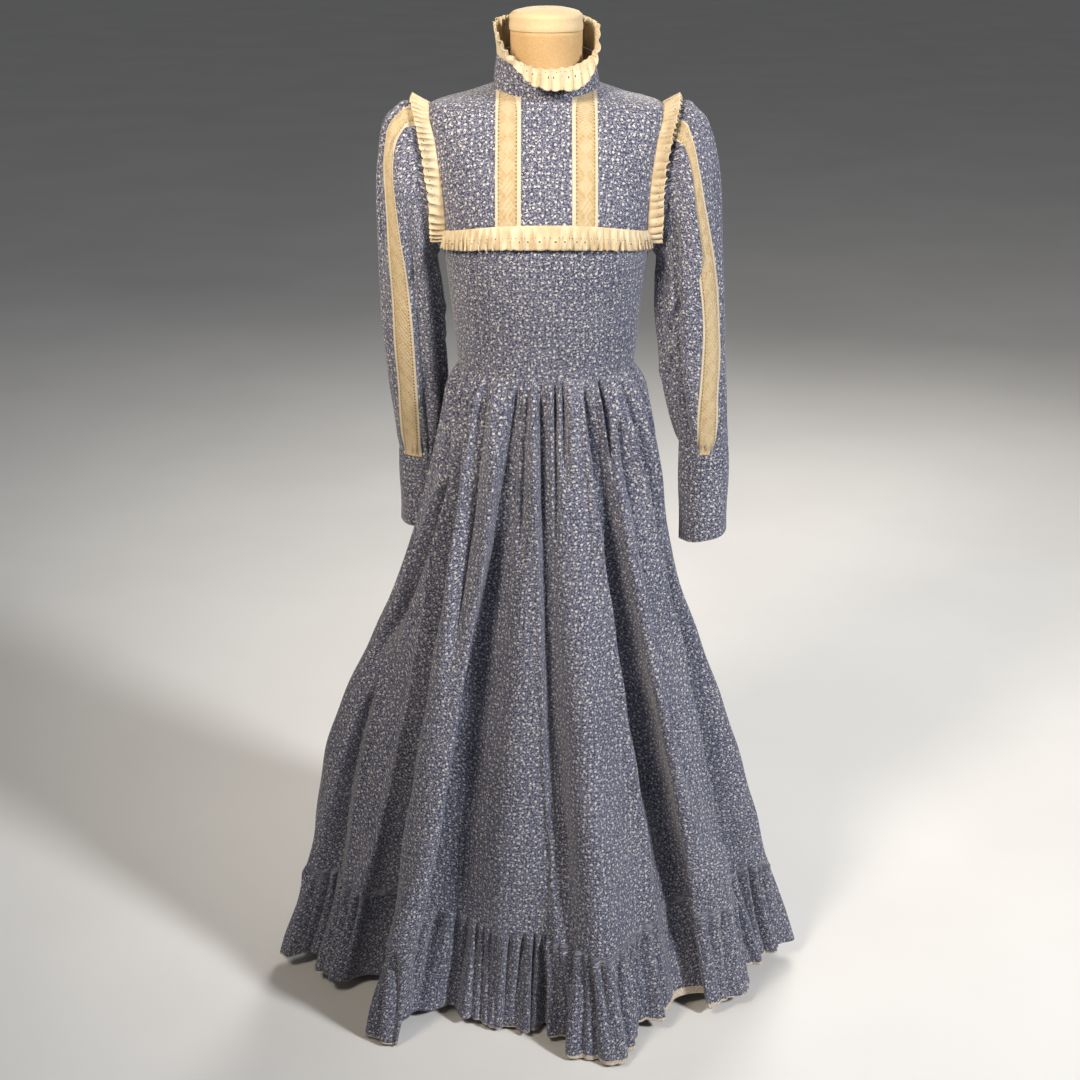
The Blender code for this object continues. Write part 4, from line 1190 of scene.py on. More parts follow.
# ==== The sleeves ==========================================================================
# Long sleeves, gathered into the armhole over the shoulder and into the cuff below, in three
# lengths: front, back and the lace let in between them. They hang beside the dress, softly
# folded, the left one bent a little forward.
SLEEVE_COLUMNS = ("name", "outer_x", "outer_z", "inner_x", "inner_z", "middle", "depth", "lace", "rear")
SLEEVES = {
    "left": (
        ("head", 0.202, 1.446, 0.152, 1.239, 0.000, 0.066, 30, 0.0),
        ("crown", 0.226, 1.424, 0.157, 1.231, 0.000, 0.072, 42, 0.0),
        ("upper", 0.237, 1.375, 0.157, 1.220, 0.001, 0.073, 56, 0.0),
        ("biceps", 0.242, 1.280, 0.152, 1.190, 0.006, 0.069, 68, 0.0),
        ("above_elbow", 0.242, 1.180, 0.149, 1.140, 0.016, 0.062, 72, 0.0),
        ("elbow", 0.240, 1.100, 0.149, 1.080, 0.030, 0.057, 72, 0.0),
        ("forearm", 0.236, 1.020, 0.149, 1.010, 0.050, 0.052, 70, 0.0),
        ("gathers", 0.231, 0.945, 0.150, 0.942, 0.070, 0.047, 66, 0.0),
        ("cuff_seam", 0.227, 0.910, 0.152, 0.908, 0.079, 0.042, 64, 0.0),
        ("cuff_middle", 0.229, 0.850, 0.153, 0.846, 0.094, 0.041, 64, 0.005),
        ("cuff_end", 0.230, 0.785, 0.154, 0.778, 0.110, 0.041, 64, 0.012),
    ),
    "right": (
        ("head", 0.201, 1.446, 0.152, 1.239, 0.000, 0.066, 50, 0.0),
        ("crown", 0.225, 1.424, 0.158, 1.231, 0.000, 0.072, 68, 0.0),
        ("upper", 0.242, 1.375, 0.160, 1.220, 0.000, 0.073, 75, 0.0),
        ("biceps", 0.252, 1.280, 0.159, 1.190, 0.000, 0.069, 67, 0.0),
        ("above_elbow", 0.259, 1.180, 0.162, 1.140, 0.000, 0.062, 57, 0.0),
        ("elbow", 0.264, 1.100, 0.169, 1.080, 0.001, 0.057, 59, 0.0),
        ("forearm", 0.269, 1.020, 0.181, 1.010, 0.004, 0.052, 71, 0.0),
        ("gathers", 0.274, 0.962, 0.196, 0.958, 0.008, 0.047, 84, 0.0),
        ("cuff_seam", 0.275, 0.936, 0.201, 0.934, 0.010, 0.043, 92, 0.0),
        ("cuff_middle", 0.278, 0.870, 0.204, 0.864, 0.012, 0.042, 92, 0.010),
        ("cuff_end", 0.278, 0.802, 0.206, 0.788, 0.014, 0.041, 92, 0.028),
    ),
}
CUFF_SEAM = 9            # ring numbers, the armhole being ring 0
CUFF_END = 11
SLEEVE_INSERT = 0.034
SLEEVE_SEEDS = {"left": 21, "right": 34}
EDGING_SEEDS = {"left": 8, "right": 9}
HEAD_GATHERS = (0.0030, 0.0065)    # depths, shallowest and deepest
CUFF_GATHERS = (0.0020, 0.0042)
HEAD_PUFF = 0.0040
SLEEVE_LACE_LENGTH = 0.53
ARMHOLE_RUN = 0.24
EDGING_FOOT = 0.02                 # where the armhole edging lies on the sleeve, in rings
EDGING_REACH = 0.62
EDGING_LIFT = (0.0010, 0.0110)     # off the sleeve at its sewn edge, and how much more at its free edge
EDGING_OVERLAP = (0.0050, -0.0020, 0.0014)
SLEEVE_RUMPLE = 0.0012
LACE_LAP = 0.55          # how far the right front folds over the lace, as a share of half its width
LACE_LAP_LIFT = 0.0060
SLEEVE_FOLD_COLUMNS = ("name", "ring_start", "angle_start", "ring_stop", "angle_stop", "width",
                       "depth")
SLEEVE_FOLDS = {
    "left": (
        ("outer_fold_a", 0.6, 350, 8.6, 20, 11, 0.0060),
        ("outer_fold_b", 0.9, 325, 7.6, 345, 10, 0.0050),
        ("front_fold", 1.2, 92, 8.8, 112, 13, 0.0055),
        ("inner_fold", 2.2, 140, 8.8, 150, 12, 0.0050),
        ("under_lace", 0.8, 14, 4.8, 38, 9, 0.0045),
        ("elbow_a", 4.6, 150, 5.6, 200, 14, 0.0045),
        ("elbow_b", 5.4, 160, 6.3, 215, 14, 0.0040),
        ("back_fold_a", 0.7, 285, 8.8, 270, 13, 0.0060),
        ("back_fold_b", 1.5, 245, 8.6, 235, 12, 0.0055),
        ("back_fold_c", 2.8, 300, 7.2, 318, 11, 0.0045),
    ),
    "right": (
        ("front_fold_a", 0.9, 112, 8.8, 124, 11, 0.0060),
        ("front_fold_b", 1.4, 132, 8.8, 142, 12, 0.0055),
        ("outer_fold", 0.6, 352, 8.4, 22, 10, 0.0050),
        ("inner_fold", 2.4, 148, 8.8, 160, 12, 0.0050),
        ("elbow_a", 4.4, 100, 5.6, 150, 12, 0.0045),
        ("elbow_b", 5.6, 112, 6.6, 168, 12, 0.0040),
        ("back_fold_a", 0.7, 290, 8.8, 276, 13, 0.0060),
        ("back_fold_b", 1.6, 240, 8.6, 232, 12, 0.0055),
        ("back_fold_c", 2.6, 318, 7.4, 330, 11, 0.0045),
    ),
}


def sleeve(side, angle, ring):
    """Points of a sleeve: ring 0 is the armhole, 0 degrees is the outer line, 90 the front."""
    sign = -1 if side == "left" else 1
    angle, ring = np.broadcast_arrays(np.asarray(angle, float), np.asarray(ring, float))
    row = read_rings(SLEEVES[side], SLEEVE_COLUMNS, np.maximum(ring - 1, 0))
    c, s = np.cos(np.radians(angle)), np.sin(np.radians(angle))
    x = (row["outer_x"] + row["inner_x"]) / 2 + (row["outer_x"] - row["inner_x"]) / 2 * c
    z = (row["outer_z"] + row["inner_z"]) / 2 + (row["outer_z"] - row["inner_z"]) / 2 * c
    z = z - row["rear"] * np.maximum(0, -s)
    hung = np.stack([sign * x, row["middle"] - row["depth"] * s, z], -1)
    level = (ARMPIT + SHOULDER) / 2 + (SHOULDER - ARMPIT) / 2 * c
    edge = armhole_angle(level)
    around = sign * np.where(s >= 0, edge, 180 - edge)
    root = figure(around, level) + outward(figure, around, level) * LAP
    share = np.clip(ring, 0, 1)[..., None]
    return root * (1 - share) + hung * share


def sleeve_out(side, angle, ring):
    """The outward normals of a sleeve."""
    out = outward(lambda u, v: sleeve(side, u, v), angle, np.maximum(ring, 0.03))
    return out if side == "right" else -out


def sleeve_cloth(side, angle, ring):
    """The sleeve as it hangs, with its gathers, folds and rumples."""
    base, out = sleeve(side, angle, ring), sleeve_out(side, angle, ring)
    angle, ring = np.broadcast_arrays(angle, ring)
    proud = np.zeros(angle.shape)
    wrapped = angle % 360
    for row in SLEEVE_FOLDS[side]:
        fold = dict(zip(SLEEVE_FOLD_COLUMNS, row))
        down = (ring - fold["ring_start"]) / (fold["ring_stop"] - fold["ring_start"])
        line = fold["angle_start"] + (fold["angle_stop"] - fold["angle_start"]) * down
        if fold["angle_start"] > 180 and fold["angle_stop"] < 90:
            line = fold["angle_start"] + (fold["angle_stop"] + 360 - fold["angle_start"]) * down
        away = (wrapped - line + 180) % 360 - 180
        taper = np.clip(down * 4, 0, 1) * np.clip((1 - down) * 4, 0, 1)
        taper = taper * taper * (3 - 2 * taper)
        side_width = np.where(away > 0, fold["width"], fold["width"] * 0.45)
        proud -= 1.5 * fold["depth"] * taper * np.exp(-np.abs(away / side_width) ** 1.5)
        beside = (away - 1.5 * fold["width"]) / fold["width"]
        proud += 0.7 * fold["depth"] * taper * np.exp(-beside ** 2)
    rng = np.random.default_rng(SLEEVE_SEEDS[side])
    over_shoulder = np.clip(np.cos(np.radians(wrapped)) * 1.5 + 0.6, 0, 1)
    gathers = np.zeros(angle.shape)
    for centre in np.cumsum(rng.uniform(4.5, 9.5, 34)) - 115:
        reach = rng.uniform(0.6, 2.6)
        depth = rng.uniform(*HEAD_GATHERS)
        away = (wrapped - centre - 3 * ring + 180) % 360 - 180
        gathers -= depth * np.exp(-np.abs(away / 2.8) ** 1.3) * np.exp(-(ring / reach) ** 2)
    proud += gathers * over_shoulder * np.clip(ring * 6 + 0.2, 0, 1)
    rise = ring - CUFF_SEAM
    for centre in np.cumsum(rng.uniform(8, 17, 30)):
        reach = rng.uniform(0.5, 1.8)
        depth = rng.uniform(*CUFF_GATHERS)
        away = (wrapped - centre + 180) % 360 - 180
        fading = np.exp(-(rise / reach) ** 2) * (ring <= CUFF_SEAM)
        proud -= depth * np.exp(-np.abs(away / 3.0) ** 1.3) * fading
    waves = np.sin(np.radians(3 * wrapped) + 2.1 * ring) * np.sin(1.9 * ring + np.radians(2 * wrapped))
    proud += SLEEVE_RUMPLE * waves
    proud = proud * np.clip((CUFF_SEAM - ring) / 0.08, 0, 1)
    puff = HEAD_PUFF * np.sin(math.pi * np.clip(ring / 2.2, 0, 1)) * over_shoulder
    return base + out * (proud + puff)[..., None]


def insert_half_angle(side, angle, ring):
    """Half the angle that the lace down a sleeve takes up at each ring."""
    per_degree = np.linalg.norm(sleeve(side, angle + 2, ring) - sleeve(side, angle - 2, ring), axis=-1) / 4
    narrowing = np.interp(ring, (7.2, 8.2, 9.0), (1.0, 0.85, 0.4)) if side == "right" else 1.0
    return SLEEVE_INSERT / 2 * narrowing / per_degree


def lapped(ring):
    """How far the right sleeve's front folds over the lace, as a share of half its width."""
    rise, fall = np.clip((ring - 0.5) / 1.2, 0, 1), np.clip((4.55 - ring) / 0.5, 0, 1)
    return LACE_LAP * rise * rise * (3 - 2 * rise) * fall * fall * (3 - 2 * fall)


def build_sleeve(side):
    flip = side == "right"
    ring = (CUFF_SEAM * spread(124, 0.002))[:, None]
    middle = read_rings(SLEEVES[side], SLEEVE_COLUMNS, np.maximum(ring - 1, -0.4))["lace"]
    half = insert_half_angle(side, middle, ring)
    over = lapped(ring) if side == "right" else 0 * ring
    parts = (("front", middle + half * (1 - over), 180.0 + 0 * ring, 56),
             ("back", 180.0 + 0 * ring, 360 + middle - half, 96))
    for part, start, stop, columns in parts:
        angle = start + (stop - start) * spread(columns)[None]
        points = sleeve_cloth(side, angle, ring)
        if part == "front":
            lift = LACE_LAP_LIFT * over * np.exp(-((angle - start) / 24) ** 2)
            points = points + sleeve_out(side, angle, ring) * lift[..., None]
        made = sewn("sleeve_%s_%s_cloth" % (side, part), points, COTTON_SIDES, COTTON_WALL,
                    flip=not flip, shift=(6.0 + (part == "back") + 2 * flip, 0.0), level_row=-1)
        put_on(made, "printed_cotton", "sleeve_%s_%s" % (side, part))
    angle = middle - half + 2 * half * spread(14, 0.01)[None]
    points = sleeve_cloth(side, angle, ring)
    strip = sewn("sleeve_insertion_" + side, points, [lace], LACE_WALL, flip=not flip)
    put_on(strip, "cotton_lace", "sleeve_%s_lace" % side)
    work = work_lace("sleeve_insertion_" + side, points, grid_normals(points, flip=not flip),
                     SLEEVE_LACE_LENGTH)


def build_cuff(side):
    flip = side == "right"
    angle = (181 + 358 * spread(120, 0.003))[None]
    ring = (CUFF_SEAM + 0.01 + (CUFF_END - CUFF_SEAM - 0.01) * spread(36, 0.006))[:, None]
    base = sleeve(side, angle, ring)
    out = sleeve_out(side, angle, ring)
    down = (ring - CUFF_SEAM) / (CUFF_END - CUFF_SEAM)
    soft = 0.0014 * np.sin(np.radians(2 * angle) + 4 * down + 0.7) * np.sin(math.pi * down)
    soft = soft + 0.0010 * np.sin(np.radians(5 * angle) - 3 * down)
    made = sewn("cuff_%s_cloth" % side, base + out * soft[..., None], COTTON_SIDES, COTTON_WALL,
                flip=not flip, shift=(10.0 + flip, 0.0))
    put_on(made, "printed_cotton", "cuff_" + side)


def build_armhole_frill(side):
    sign = -1 if side == "left" else 1
    angle = (-6.0 + 141.0 * np.linspace(0, 1, 300))[None]
    share = np.linspace(0, 1, 15)[:, None]
    ring = EDGING_FOOT + share * EDGING_REACH
    base = sleeve(side, angle, ring)
    lift = EDGING_LIFT[0] + EDGING_LIFT[1] * share ** 0.7
    base = base + sleeve_out(side, angle, ring) * lift[..., None]
    over_yoke = np.array(EDGING_OVERLAP) * (-sign, 1, 1)
    base = base + over_yoke * ((1 - share) ** 3)[..., None]
    points, cloth_map = ruffle(base, ARMHOLE_RUN, FRILL_DEPTH, EDGING_SEEDS[side], stand=0.0034, sway=0.0026,
                               pitch=0.0095)
    frill = frill_piece("yoke_frill_%s_edging" % side, points, cloth_map, flip=sign < 0)
    put_on(frill, "eyelet_edging", "yoke_frill_" + side)


for side in ("left", "right"):
    build_sleeve(side)
    build_cuff(side)
    build_armhole_frill(side)


# ==== The skirt ============================================================================
# Two wide panels, front and back, gathered by hand into the waist seam and left to fall in
# deep folds to the floor. The folds are uneven: some are long and sharp, others die away.
SKIRT_FOLDS = (          # name, waist_angle, hem_x, hem_y, hem_z
    ("back_ridge_a", -171, -0.080, 0.312, 0.008),
    ("back_valley_a", -159, -0.150, 0.250, 0.012),
    ("back_ridge_b", -147, -0.240, 0.282, 0.008),
    ("back_valley_b", -135, -0.300, 0.200, 0.014),
    ("left_rear_ridge", -121, -0.388, 0.190, 0.010),
    ("left_rear_valley", -108, -0.392, 0.112, 0.020),
    ("left_lobe", -93, -0.436, 0.030, 0.026),
    ("left_front_valley", -75, -0.372, -0.018, 0.030),
    ("left_shoulder_ridge", -65, -0.342, -0.050, 0.026),
    ("left_deep_valley", -56, -0.300, -0.070, 0.020),
    ("left_front_ridge", -38, -0.246, -0.205, 0.007),
    ("left_centre_valley", -20, -0.172, -0.160, 0.018),
    ("centre_panel_left", -9, -0.085, -0.172, 0.010),
    ("centre_valley", 5, 0.004, -0.160, 0.012),
    ("right_front_ridge", 16, 0.098, -0.238, 0.007),
    ("right_deep_valley", 29, 0.204, -0.118, 0.026),
    ("right_ridge", 44, 0.276, -0.140, 0.018),
    ("right_side_valley", 62, 0.346, -0.030, 0.030),
    ("right_lobe", 88, 0.414, 0.050, 0.034),
    ("right_rear_valley", 104, 0.384, 0.118, 0.022),
    ("right_rear_ridge", 118, 0.372, 0.200, 0.010),
    ("back_valley_c", 131, 0.296, 0.196, 0.014),
    ("back_ridge_c", 144, 0.246, 0.286, 0.008),
    ("back_valley_d", 156, 0.158, 0.252, 0.012),
    ("back_ridge_d", 167, 0.086, 0.315, 0.008),
    ("back_centre_valley", 178, 0.012, 0.266, 0.012),
)
SKIRT_DENTS = (          # name, angle, angle_width, drop, drop_width, depth
    ("left_arm", -116, 24, 0.215, 0.17, 0.036),
    ("right_arm", 95, 34, 0.320, 0.17, 0.026),
    ("left_lobe", -99, 20, 0.610, 0.18, -0.038),
)
SKIRT_HALVES = (("front", 0, 40), ("back", 180, 41))    # name, angle of its middle, seed
FLOUNCE_SEAM = 0.836      # as a share of the drop from the waist seam to the hem
WAIST_SWELL = 0.0125      # how far the gathers push the skirt out, just under the waist seam
SKIRT_RUMPLE = 0.0022
FOLD_HEAD_WIDTH = 0.0042  # each side of a fold, and its depth, where it leaves the waist seam
FOLD_HEAD_DEPTH = 0.0150
FOLD_BULGE = 0.28         # how far the cloth rises beside a fold, as a share of its depth
HIP_GAP = 0.004
# Long creases: where each starts and ends, as a drop and an angle, its width in metres to the
# left and to the right of its line, and its depth.
CREASE_COLUMNS = ("name", "drop_start", "angle_start", "drop_stop", "angle_stop", "left", "right",
                  "depth")
CREASES = (
    ("under_left_ridge", 0.000, -17.0, 1.450, -35.5, 0.013, 0.060, 0.072),
    ("right_of_centre", 0.000, 23.0, 1.450, 41.5, 0.014, 0.036, 0.058),
    ("left_sharp", 0.000, -38.0, 0.460, -34.5, 0.006, 0.013, 0.022),
    ("right_sharp", 0.000, 54.0, 0.520, 65.0, 0.006, 0.014, 0.020),
    ("left_head", 0.000, -76.0, 0.210, -57.0, 0.004, 0.008, 0.016),
    ("left_outer", 0.120, -54.0, 0.500, -90.0, 0.008, 0.014, 0.030),
    ("left_band", 0.100, -51.0, 1.400, -60.0, 0.010, 0.038, 0.052),
    ("centre_fine_a", 0.000, -10.0, 0.300, -9.0, 0.004, 0.008, 0.014),
    ("centre_fine_b", 0.000, -3.0, 1.050, 13.0, 0.005, 0.024, 0.022),
    ("centre_fine_c", 0.000, 5.0, 0.260, 7.6, 0.003, 0.006, 0.012),
    ("centre_fine_d", 0.000, 10.0, 0.160, 10.6, 0.003, 0.006, 0.012),
    ("right_fine", 0.000, 34.0, 0.140, 34.0, 0.003, 0.006, 0.012),
    ("right_soft", 0.050, 43.0, 0.800, 50.0, 0.008, 0.024, 0.018),
    ("right_outer", 0.030, 72.0, 0.560, 70.0, 0.006, 0.014, 0.014),
    ("right_side", 0.250, 66.0, 1.400, 62.0, 0.018, 0.034, 0.030),
    ("left_side", 0.500, -81.0, 1.200, -79.0, 0.020, 0.010, 0.026),
    ("right_rear", 0.040, 104.0, 0.900, 106.0, 0.010, 0.026, 0.026),
    ("back_a", 0.020, 123.0, 0.460, 127.0, 0.006, 0.014, 0.018),
    ("back_b", 0.020, 134.0, 0.950, 131.0, 0.030, 0.010, 0.030),
    ("back_c", 0.030, 149.0, 0.420, 146.0, 0.012, 0.005, 0.014),
    ("back_d", 0.020, 158.0, 0.900, 156.0, 0.009, 0.028, 0.028),
    ("back_e", 0.020, 172.0, 0.360, 174.0, 0.010, 0.005, 0.014),
    ("back_f", 0.030, -178.0, 0.930, -181.0, 0.028, 0.010, 0.026),
    ("back_g", 0.020, -166.0, 0.440, -168.0, 0.005, 0.012, 0.014),
    ("back_h", 0.030, -157.0, 0.950, -159.5, 0.009, 0.030, 0.030),
    ("back_i", 0.020, -143.0, 0.500, -141.0, 0.012, 0.006, 0.016),
    ("back_j", 0.030, -131.0, 0.970, -135.0, 0.028, 0.009, 0.028),
    ("left_rear", 0.060, -112.0, 0.930, -109.0, 0.024, 0.010, 0.020),
)


def map_flared(points, shift):
    """The map of a flared panel in metres: its rows as arcs, opening out from a far point."""
    across, along = lengths(points, 1), lengths(points, 0)
    width, middle = across[:, -1:], points.shape[1] // 2
    opening = (width[-1] - width[2]) / (along[-1, middle] - along[2, middle])
    reach = width[2] / opening + along - along[2]
    turn = opening * (across - across[:, middle:middle + 1]) / width
    return np.stack([reach * np.sin(turn) + shift[0], reach * np.cos(turn) + shift[1]], -1)


def fold_foot(angle):
    """Where the cloth at each angle of the waist reaches the hem."""
    rows = np.array([row[1:] for row in SKIRT_FOLDS], dtype=float)
    turn = np.array([360.0, 0, 0, 0])
    rows = np.vstack([rows[-3:] - turn, rows, rows[:3] + turn])
    return np.stack([through(rows[:, 0], rows[:, k], angle) for k in (1, 2, 3)], -1)


def skirt_line(angle, drop):
    return figure(angle, 0.0) * (1 - drop[..., None]) + fold_foot(angle) * drop[..., None]


def level_out(surface, angle, drop):
    """The outward normals of the skirt, kept level."""
    along = surface(angle + 1, drop) - surface(angle - 1, drop)
    return unit(np.stack([along[..., 1], -along[..., 0], 0 * along[..., 0]], -1))


def skirt(angle, drop):
    """The skirt's own form: drop is 0 at the waist seam and 1 at the hem."""
    angle, drop = np.asarray(angle, float), np.asarray(drop, float)
    angle, drop = np.broadcast_arrays((angle + 180) % 360 - 180, drop)
    points, out = skirt_line(angle, drop), level_out(skirt_line, angle, drop)
    start = np.minimum(drop / 0.07, 1.0)
    for _, middle, width, depth_at, depth_width, depth in SKIRT_DENTS:
        across, down = (angle - middle) / width, (drop - depth_at) / depth_width
        points = points - out * (start * depth * np.exp(-across**2 - down**2))[..., None]
    return points


def away_from(crease, turn, order, drop, across):
    """How far along each row the cloth lies from a crease's line, turned by whole turns."""
    start, stop = crease["angle_start"] + turn, crease["angle_stop"] + turn
    down = (drop[:, 0] - crease["drop_start"]) / (crease["drop_stop"] - crease["drop_start"])
    line = start + (stop - start) * np.clip(down, -0.2, 1.2)
    at = np.array([np.interp(a, order, s) for a, s in zip(line, across)])
    per_degree = (across[:, -1] - across[:, 0]) / (order[-1] - order[0])
    past = np.where(line < order[0], line - order[0], np.where(line > order[-1], line - order[-1], 0))
    return across - (at + past * per_degree)[:, None], down


def crease_depth(angle, drop, across):
    """How far in the long creases draw the cloth, across being the distance along each row."""
    drawn = np.zeros(across.shape)
    order = angle[0]
    for row in CREASES:
        crease = dict(zip(CREASE_COLUMNS, row))
        ends = crease["angle_start"], crease["angle_stop"]
        for turn in (-360, 0, 360):
            if max(ends) + turn < order[0] - 12 or min(ends) + turn > order[-1] + 12:
                continue
            away, down = away_from(crease, turn, order, drop, across)
            starting = np.clip((drop[:, 0] - crease["drop_start"]) / 0.03, 0, 1)
            taper = starting * np.clip((1 - down) * 2.5, 0, 1)
            taper = (taper * taper * (3 - 2 * taper))[:, None]
            grown = (np.clip(1.9 * down, 0, 1) ** 0.8)[:, None]
            softer = 1 + 1.1 * np.clip((drop[:, :1] - 0.72) / 0.28, 0, 1)
            left, right = ((w * grown + min(w, FOLD_HEAD_WIDTH) * (1 - grown)) * softer
                           for w in (crease["left"], crease["right"]))
            depth = taper * (crease["depth"] * grown + min(crease["depth"], FOLD_HEAD_DEPTH) * (1 - grown))
            drawn += depth * np.exp(-np.abs(away / np.where(away < 0, left, right)) ** 1.35)
            for way, reach in ((-1, left), (1, right)):
                drawn -= FOLD_BULGE * depth * np.exp(-((away - way * 2.2 * reach) / (1.1 * reach)) ** 2)
    return drawn


def gather_depth(seam, drop, seed, pitch, depth, reach, width, wander=0.2, spreading=2.2):
    """Hand gathers: narrow uneven dips from a seam, each dying away at its own length below it.

    seam is how far along the sewn edge each column of the cloth starts.
    """
    rng = np.random.default_rng(seed)
    drawn = np.zeros(np.broadcast_shapes(seam.shape, drop.shape))
    place = seam[0, 0] + rng.uniform(0, pitch)
    while place < seam[0, -1]:
        dip = rng.uniform(*depth)
        fade = rng.choice([rng.uniform(*reach), rng.uniform(reach[0], reach[0] * 2.5)])
        narrow = rng.uniform(*width)
        drift = rng.uniform(-wander, wander) * pitch
        away = seam - place - drift * drop / max(fade, 0.02)
        across = np.abs(away / (narrow * (1 + spreading * drop)))
        drawn += dip * np.exp(-across ** 1.25) * np.exp(-(drop / fade) ** 2)
        place += pitch * rng.uniform(0.55, 1.6)
    return drawn


def from_seams(across):
    """0 at the side seams, rising to 1 a little way in."""
    inside = np.minimum(across - across[:, :1], across[:, -1:] - across)
    share = np.clip(inside / 0.016, 0, 1)
    return share * share * (3 - 2 * share)


def off_the_form(points):
    """Moves cloth that would sink into the form's hips out to just over them."""
    rows = np.array(FORM_HIPS)
    z = np.clip(points[..., 2], rows[0, 0], rows[-1, 0])
    side, front, back = (through(rows[:, 0], rows[:, k], z) + HIP_GAP for k in (1, 2, 3))
    depth = np.where(points[..., 1] < 0, front, back)
    reach = np.abs(points[..., 0] / side) ** HIPS_POWER + np.abs(points[..., 1] / depth) ** HIPS_POWER
    reach = reach ** (1 / HIPS_POWER)
    points[..., :2] *= np.where(reach < 1, 1 / np.maximum(reach, 0.5), 1.0)[..., None]
    return points


def hang(angle, drop, seed):
    """The skirt's cloth as it hangs, gathered, creased and rumpled, and its level normals."""
    base, out = skirt(angle, drop), level_out(skirt, angle, drop)
    across = lengths(base, 1)
    waist = lengths(figure(angle[:1], 0.0), 1)
    gathers = gather_depth(waist, drop, seed, pitch=0.0150, depth=(0.0060, 0.0120),
                           reach=(0.08, 0.45), width=(0.0020, 0.0042))
    drawn = np.clip(drop / 0.008, 0, 1) * (crease_depth(angle, drop, across) + gathers)
    start = np.clip(drop / 0.05, 0, 1)
    drawn = drawn * from_seams(across)
    rumple = SKIRT_RUMPLE * np.sin(across * 21 + drop * 13) * np.sin(across * 9 - drop * 31 + 0.8) * start
    swell = WAIST_SWELL * np.sin(np.clip(drop / 0.035, 0, 1) * math.pi / 2) * np.clip(1 - drop / 0.5, 0, 1)
    rumple = rumple * from_seams(across)
    return off_the_form(base + out * (rumple + swell - drawn)[..., None]), out


def build_skirt():
    for name, middle, seed in SKIRT_HALVES:
        angle, drop = np.broadcast_arrays((middle - 90 + 180 * spread(400, 0.001))[None],
                                          (FLOUNCE_SEAM * spread(80, 0.002))[:, None])
        points = hang(angle, drop, seed)[0]
        made = lay_out("skirt_%s_cloth" % name, points, COTTON_SIDES, flip=True,
                       cloth_map=map_flared(points, (15.0 + middle / 60, 0.0)))
        thicken(made, COTTON_WALL)
        put_on(made, "printed_cotton", "skirt_" + name)


build_skirt()


# ==== The flounce ==========================================================================
# A deep flounce of the same cotton is gathered on to the skirt's lower edge, twice as full. It
# kicks out a little over the floor, and its narrow hem is turned to the pale wrong side.
FLOUNCE_DEPTH = 0.185
FLOUNCE_KICK = 0.012
FLOUNCE_PUFF = 0.0075    # how far the gathers push the flounce's head out
FLOUNCE_RIPPLE = 0.0034
HEM_TURNING = 0.0016     # how much of the wrong side shows elsewhere
HEM_SHOWS = (            # name, angle, half width in degrees, how much of the wrong side shows
    ("left_lobe", -92, 6, 0.004),
    ("left_front", -40, 10, 0.0035),
    ("centre", -4, 12, 0.003),
    ("right_front", 17, 9, 0.010),
    ("right_rise", 36, 12, 0.018),
    ("right_side", 66, 12, 0.007),
)


def flounce_cloth(middle, seed):
    share = np.concatenate([spread(19, 0.012) * 0.90, [0.925, 0.945, 0.96, 0.972, 0.982, 0.991, 1.0]])
    angle, share = np.broadcast_arrays((middle - 90 + 180 * spread(780, 0.0005))[None], share[:, None])
    drop = FLOUNCE_SEAM + (1 - FLOUNCE_SEAM) * share
    points, out = hang(angle, drop, seed)
    seam = lengths(skirt(angle[:1], drop[:1]), 1)
    fine = gather_depth(seam, share, seed + 10, pitch=0.0160, depth=(0.0120, 0.0240), reach=(1.0, 3.5),
                        width=(0.0028, 0.0054), wander=0.9, spreading=1.0)
    # The gathers are shallower where the skirt's own folds turn the cloth edge on to their way in.
    along = np.gradient(points, axis=1)
    steep = np.abs((along * out).sum(-1)) / np.linalg.norm(along, axis=-1)
    fine *= 1 - steep**2
    rng = np.random.default_rng(seed + 20)
    wave = np.zeros(seam.shape)
    for _ in range(7):
        pitch = rng.uniform(0.030, 0.085)
        wave += rng.uniform(0.5, 1.0) * np.sin(seam * 2 * math.pi / pitch + rng.uniform(0, 6.3))
    kick = FLOUNCE_KICK * np.sin(math.pi / 2 * share)
    head = FLOUNCE_PUFF * (share / 0.06) * np.exp(1 - share / 0.06)
    ripple = FLOUNCE_RIPPLE * wave * share ** 1.3
    proud = kick + (head + ripple - fine * (1 - np.exp(-share / 0.03))) * from_seams(seam)
    points = points + out * proud[..., None]
    points[..., 2] += 0.0030 * np.sin(seam * 60) * share**4 * np.sin(seam * 23 + 1) * from_seams(seam)
    points[..., 2] = np.maximum(points[..., 2], 0.0012)
    return points, angle, share


def turn_out_hem(made, angle, share):
    """Shows the wrong side along the hem, as deep as the table says at each angle."""
    shown = np.full(angle.shape, HEM_TURNING)
    for _, middle, half_width, widest in HEM_SHOWS:
        away = (angle - middle + 180) % 360 - 180
        shown = np.maximum(shown, widest * np.exp(-(away / half_width) ** 2))
    under = ((1 - share) * FLOUNCE_DEPTH < shown)[:-1, :-1].ravel()
    made.data.polygons.foreach_set("material_index", under.astype(np.int32))


def build_flounce():
    for name, middle, seed in SKIRT_HALVES:
        points, angle, share = flounce_cloth(middle, seed)
        made = lay_out("flounce_%s_cloth" % name, points, COTTON_SIDES, flip=True,
                       cloth_map=map_flared(points, (20.0 + middle / 60, 0.0)))
        thicken(made, COTTON_WALL)
        turn_out_hem(made, angle, share)
        put_on(made, "printed_cotton", "flounce_" + name)


build_flounce()


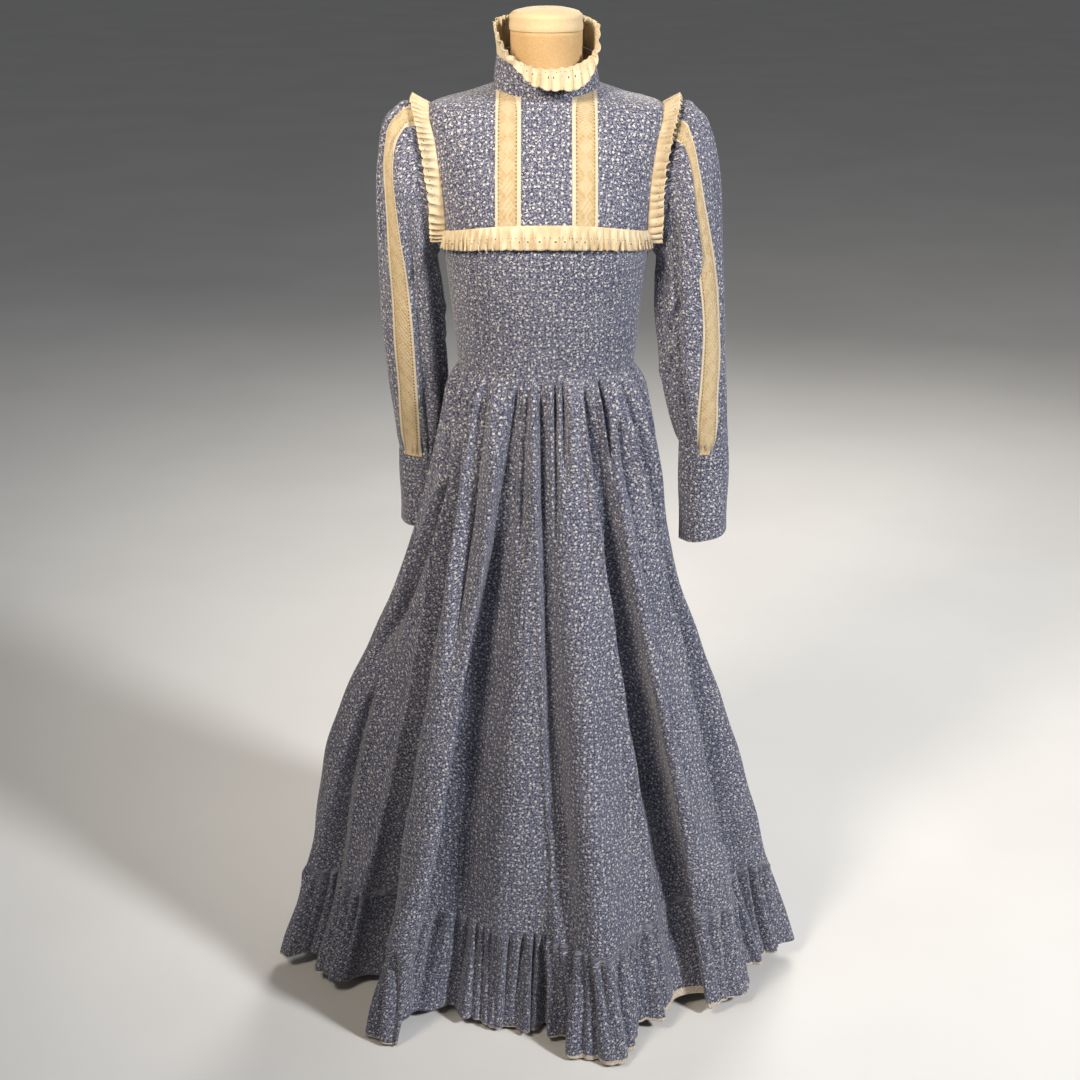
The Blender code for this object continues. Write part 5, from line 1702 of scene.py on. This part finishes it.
# ==== The floor, the light and the camera ==================================================
# A pale plain floor, with a soft lamp high on the right, a weak warm one on the left that falls
# on the collar and yoke, and a rim lamp behind. The camera looks down from above head height.
FLOOR_REACH = 40
FLOOR_PAINT = (0.70, 0.69, 0.67)
PALE_FLOOR_PAINT = (0.74, 0.73, 0.71)
ROOM_LIGHT = (0.90, 0.92, 0.96)
ROOM_STRENGTH = 0.13
LAMPS = (                # name, place, size, watts, colour, what it points at, spread in degrees
    ("key", (3.0, -2.5, 3.1), 0.6, 215, (0.97, 0.98, 1.0), (0, 0, 1.0), 180),
    ("warm", (-1.1, -1.7, 2.6), 0.7, 13, (1.0, 0.88, 0.72), (-0.1, 0, 1.45), 65),
    ("rim", (0.8, 2.6, 2.6), 1.4, 60, (1.0, 0.97, 0.93), (0, 0, 0.8), 180),
)
CAMERA_PLACE = (-0.009, -2.64, 1.80)
CAMERA_TILT = math.radians(69)
FOCUS_PIXELS = 1840      # the camera's focal length, in pixels of the picture
PICTURE_PIXELS = 1080
SENSOR_WIDTH = 36


def pale_floor():
    made, tree, shader = new_material("pale_floor", roughness=0.7, specular=0.3)
    place = add(tree, "ShaderNodeTexCoord").outputs["Object"]
    cloudy = step(tree, noise(tree, place, scale=1.6, detail=3.0), 0.3, 0.7)
    tree.links.new(blend(tree, cloudy, FLOOR_PAINT, PALE_FLOOR_PAINT), shader.inputs["Base Color"])
    return made


def soft_lamp(name, place, size, watts, colour, target, spread_degrees):
    lamp = bpy.data.lights.new(name, "AREA")
    lamp.shape = "DISK"
    lamp.size = size
    lamp.energy = watts
    lamp.color = colour
    lamp.spread = math.radians(spread_degrees)
    made = bpy.data.objects.new(name, lamp)
    made.location = place
    made.rotation_euler = (Vector(target) - Vector(place)).to_track_quat("-Z", "Y").to_euler()
    bpy.context.scene.collection.objects.link(made)


def build_studio():
    sides = (-FLOOR_REACH, FLOOR_REACH)
    corners = np.array([[(x, y, 0.0) for x in sides] for y in sides], dtype=float)
    floor = lay_out("floor", corners, [pale_floor()])
    for lamp in LAMPS:
        soft_lamp(*lamp)
    world = bpy.data.worlds.new("studio")
    world.use_nodes = True
    background = world.node_tree.nodes["Background"]
    background.inputs["Color"].default_value = (*ROOM_LIGHT, 1)
    background.inputs["Strength"].default_value = ROOM_STRENGTH
    bpy.context.scene.world = world
    bpy.context.scene.view_settings.view_transform = "Standard"
    camera = bpy.data.cameras.new("camera")
    camera.lens = FOCUS_PIXELS / PICTURE_PIXELS * SENSOR_WIDTH
    camera.sensor_width = SENSOR_WIDTH
    made = bpy.data.objects.new("camera", camera)
    made.location = CAMERA_PLACE
    made.rotation_euler = (CAMERA_TILT, 0, 0)
    bpy.context.scene.collection.objects.link(made)
    bpy.context.scene.camera = made


build_studio()
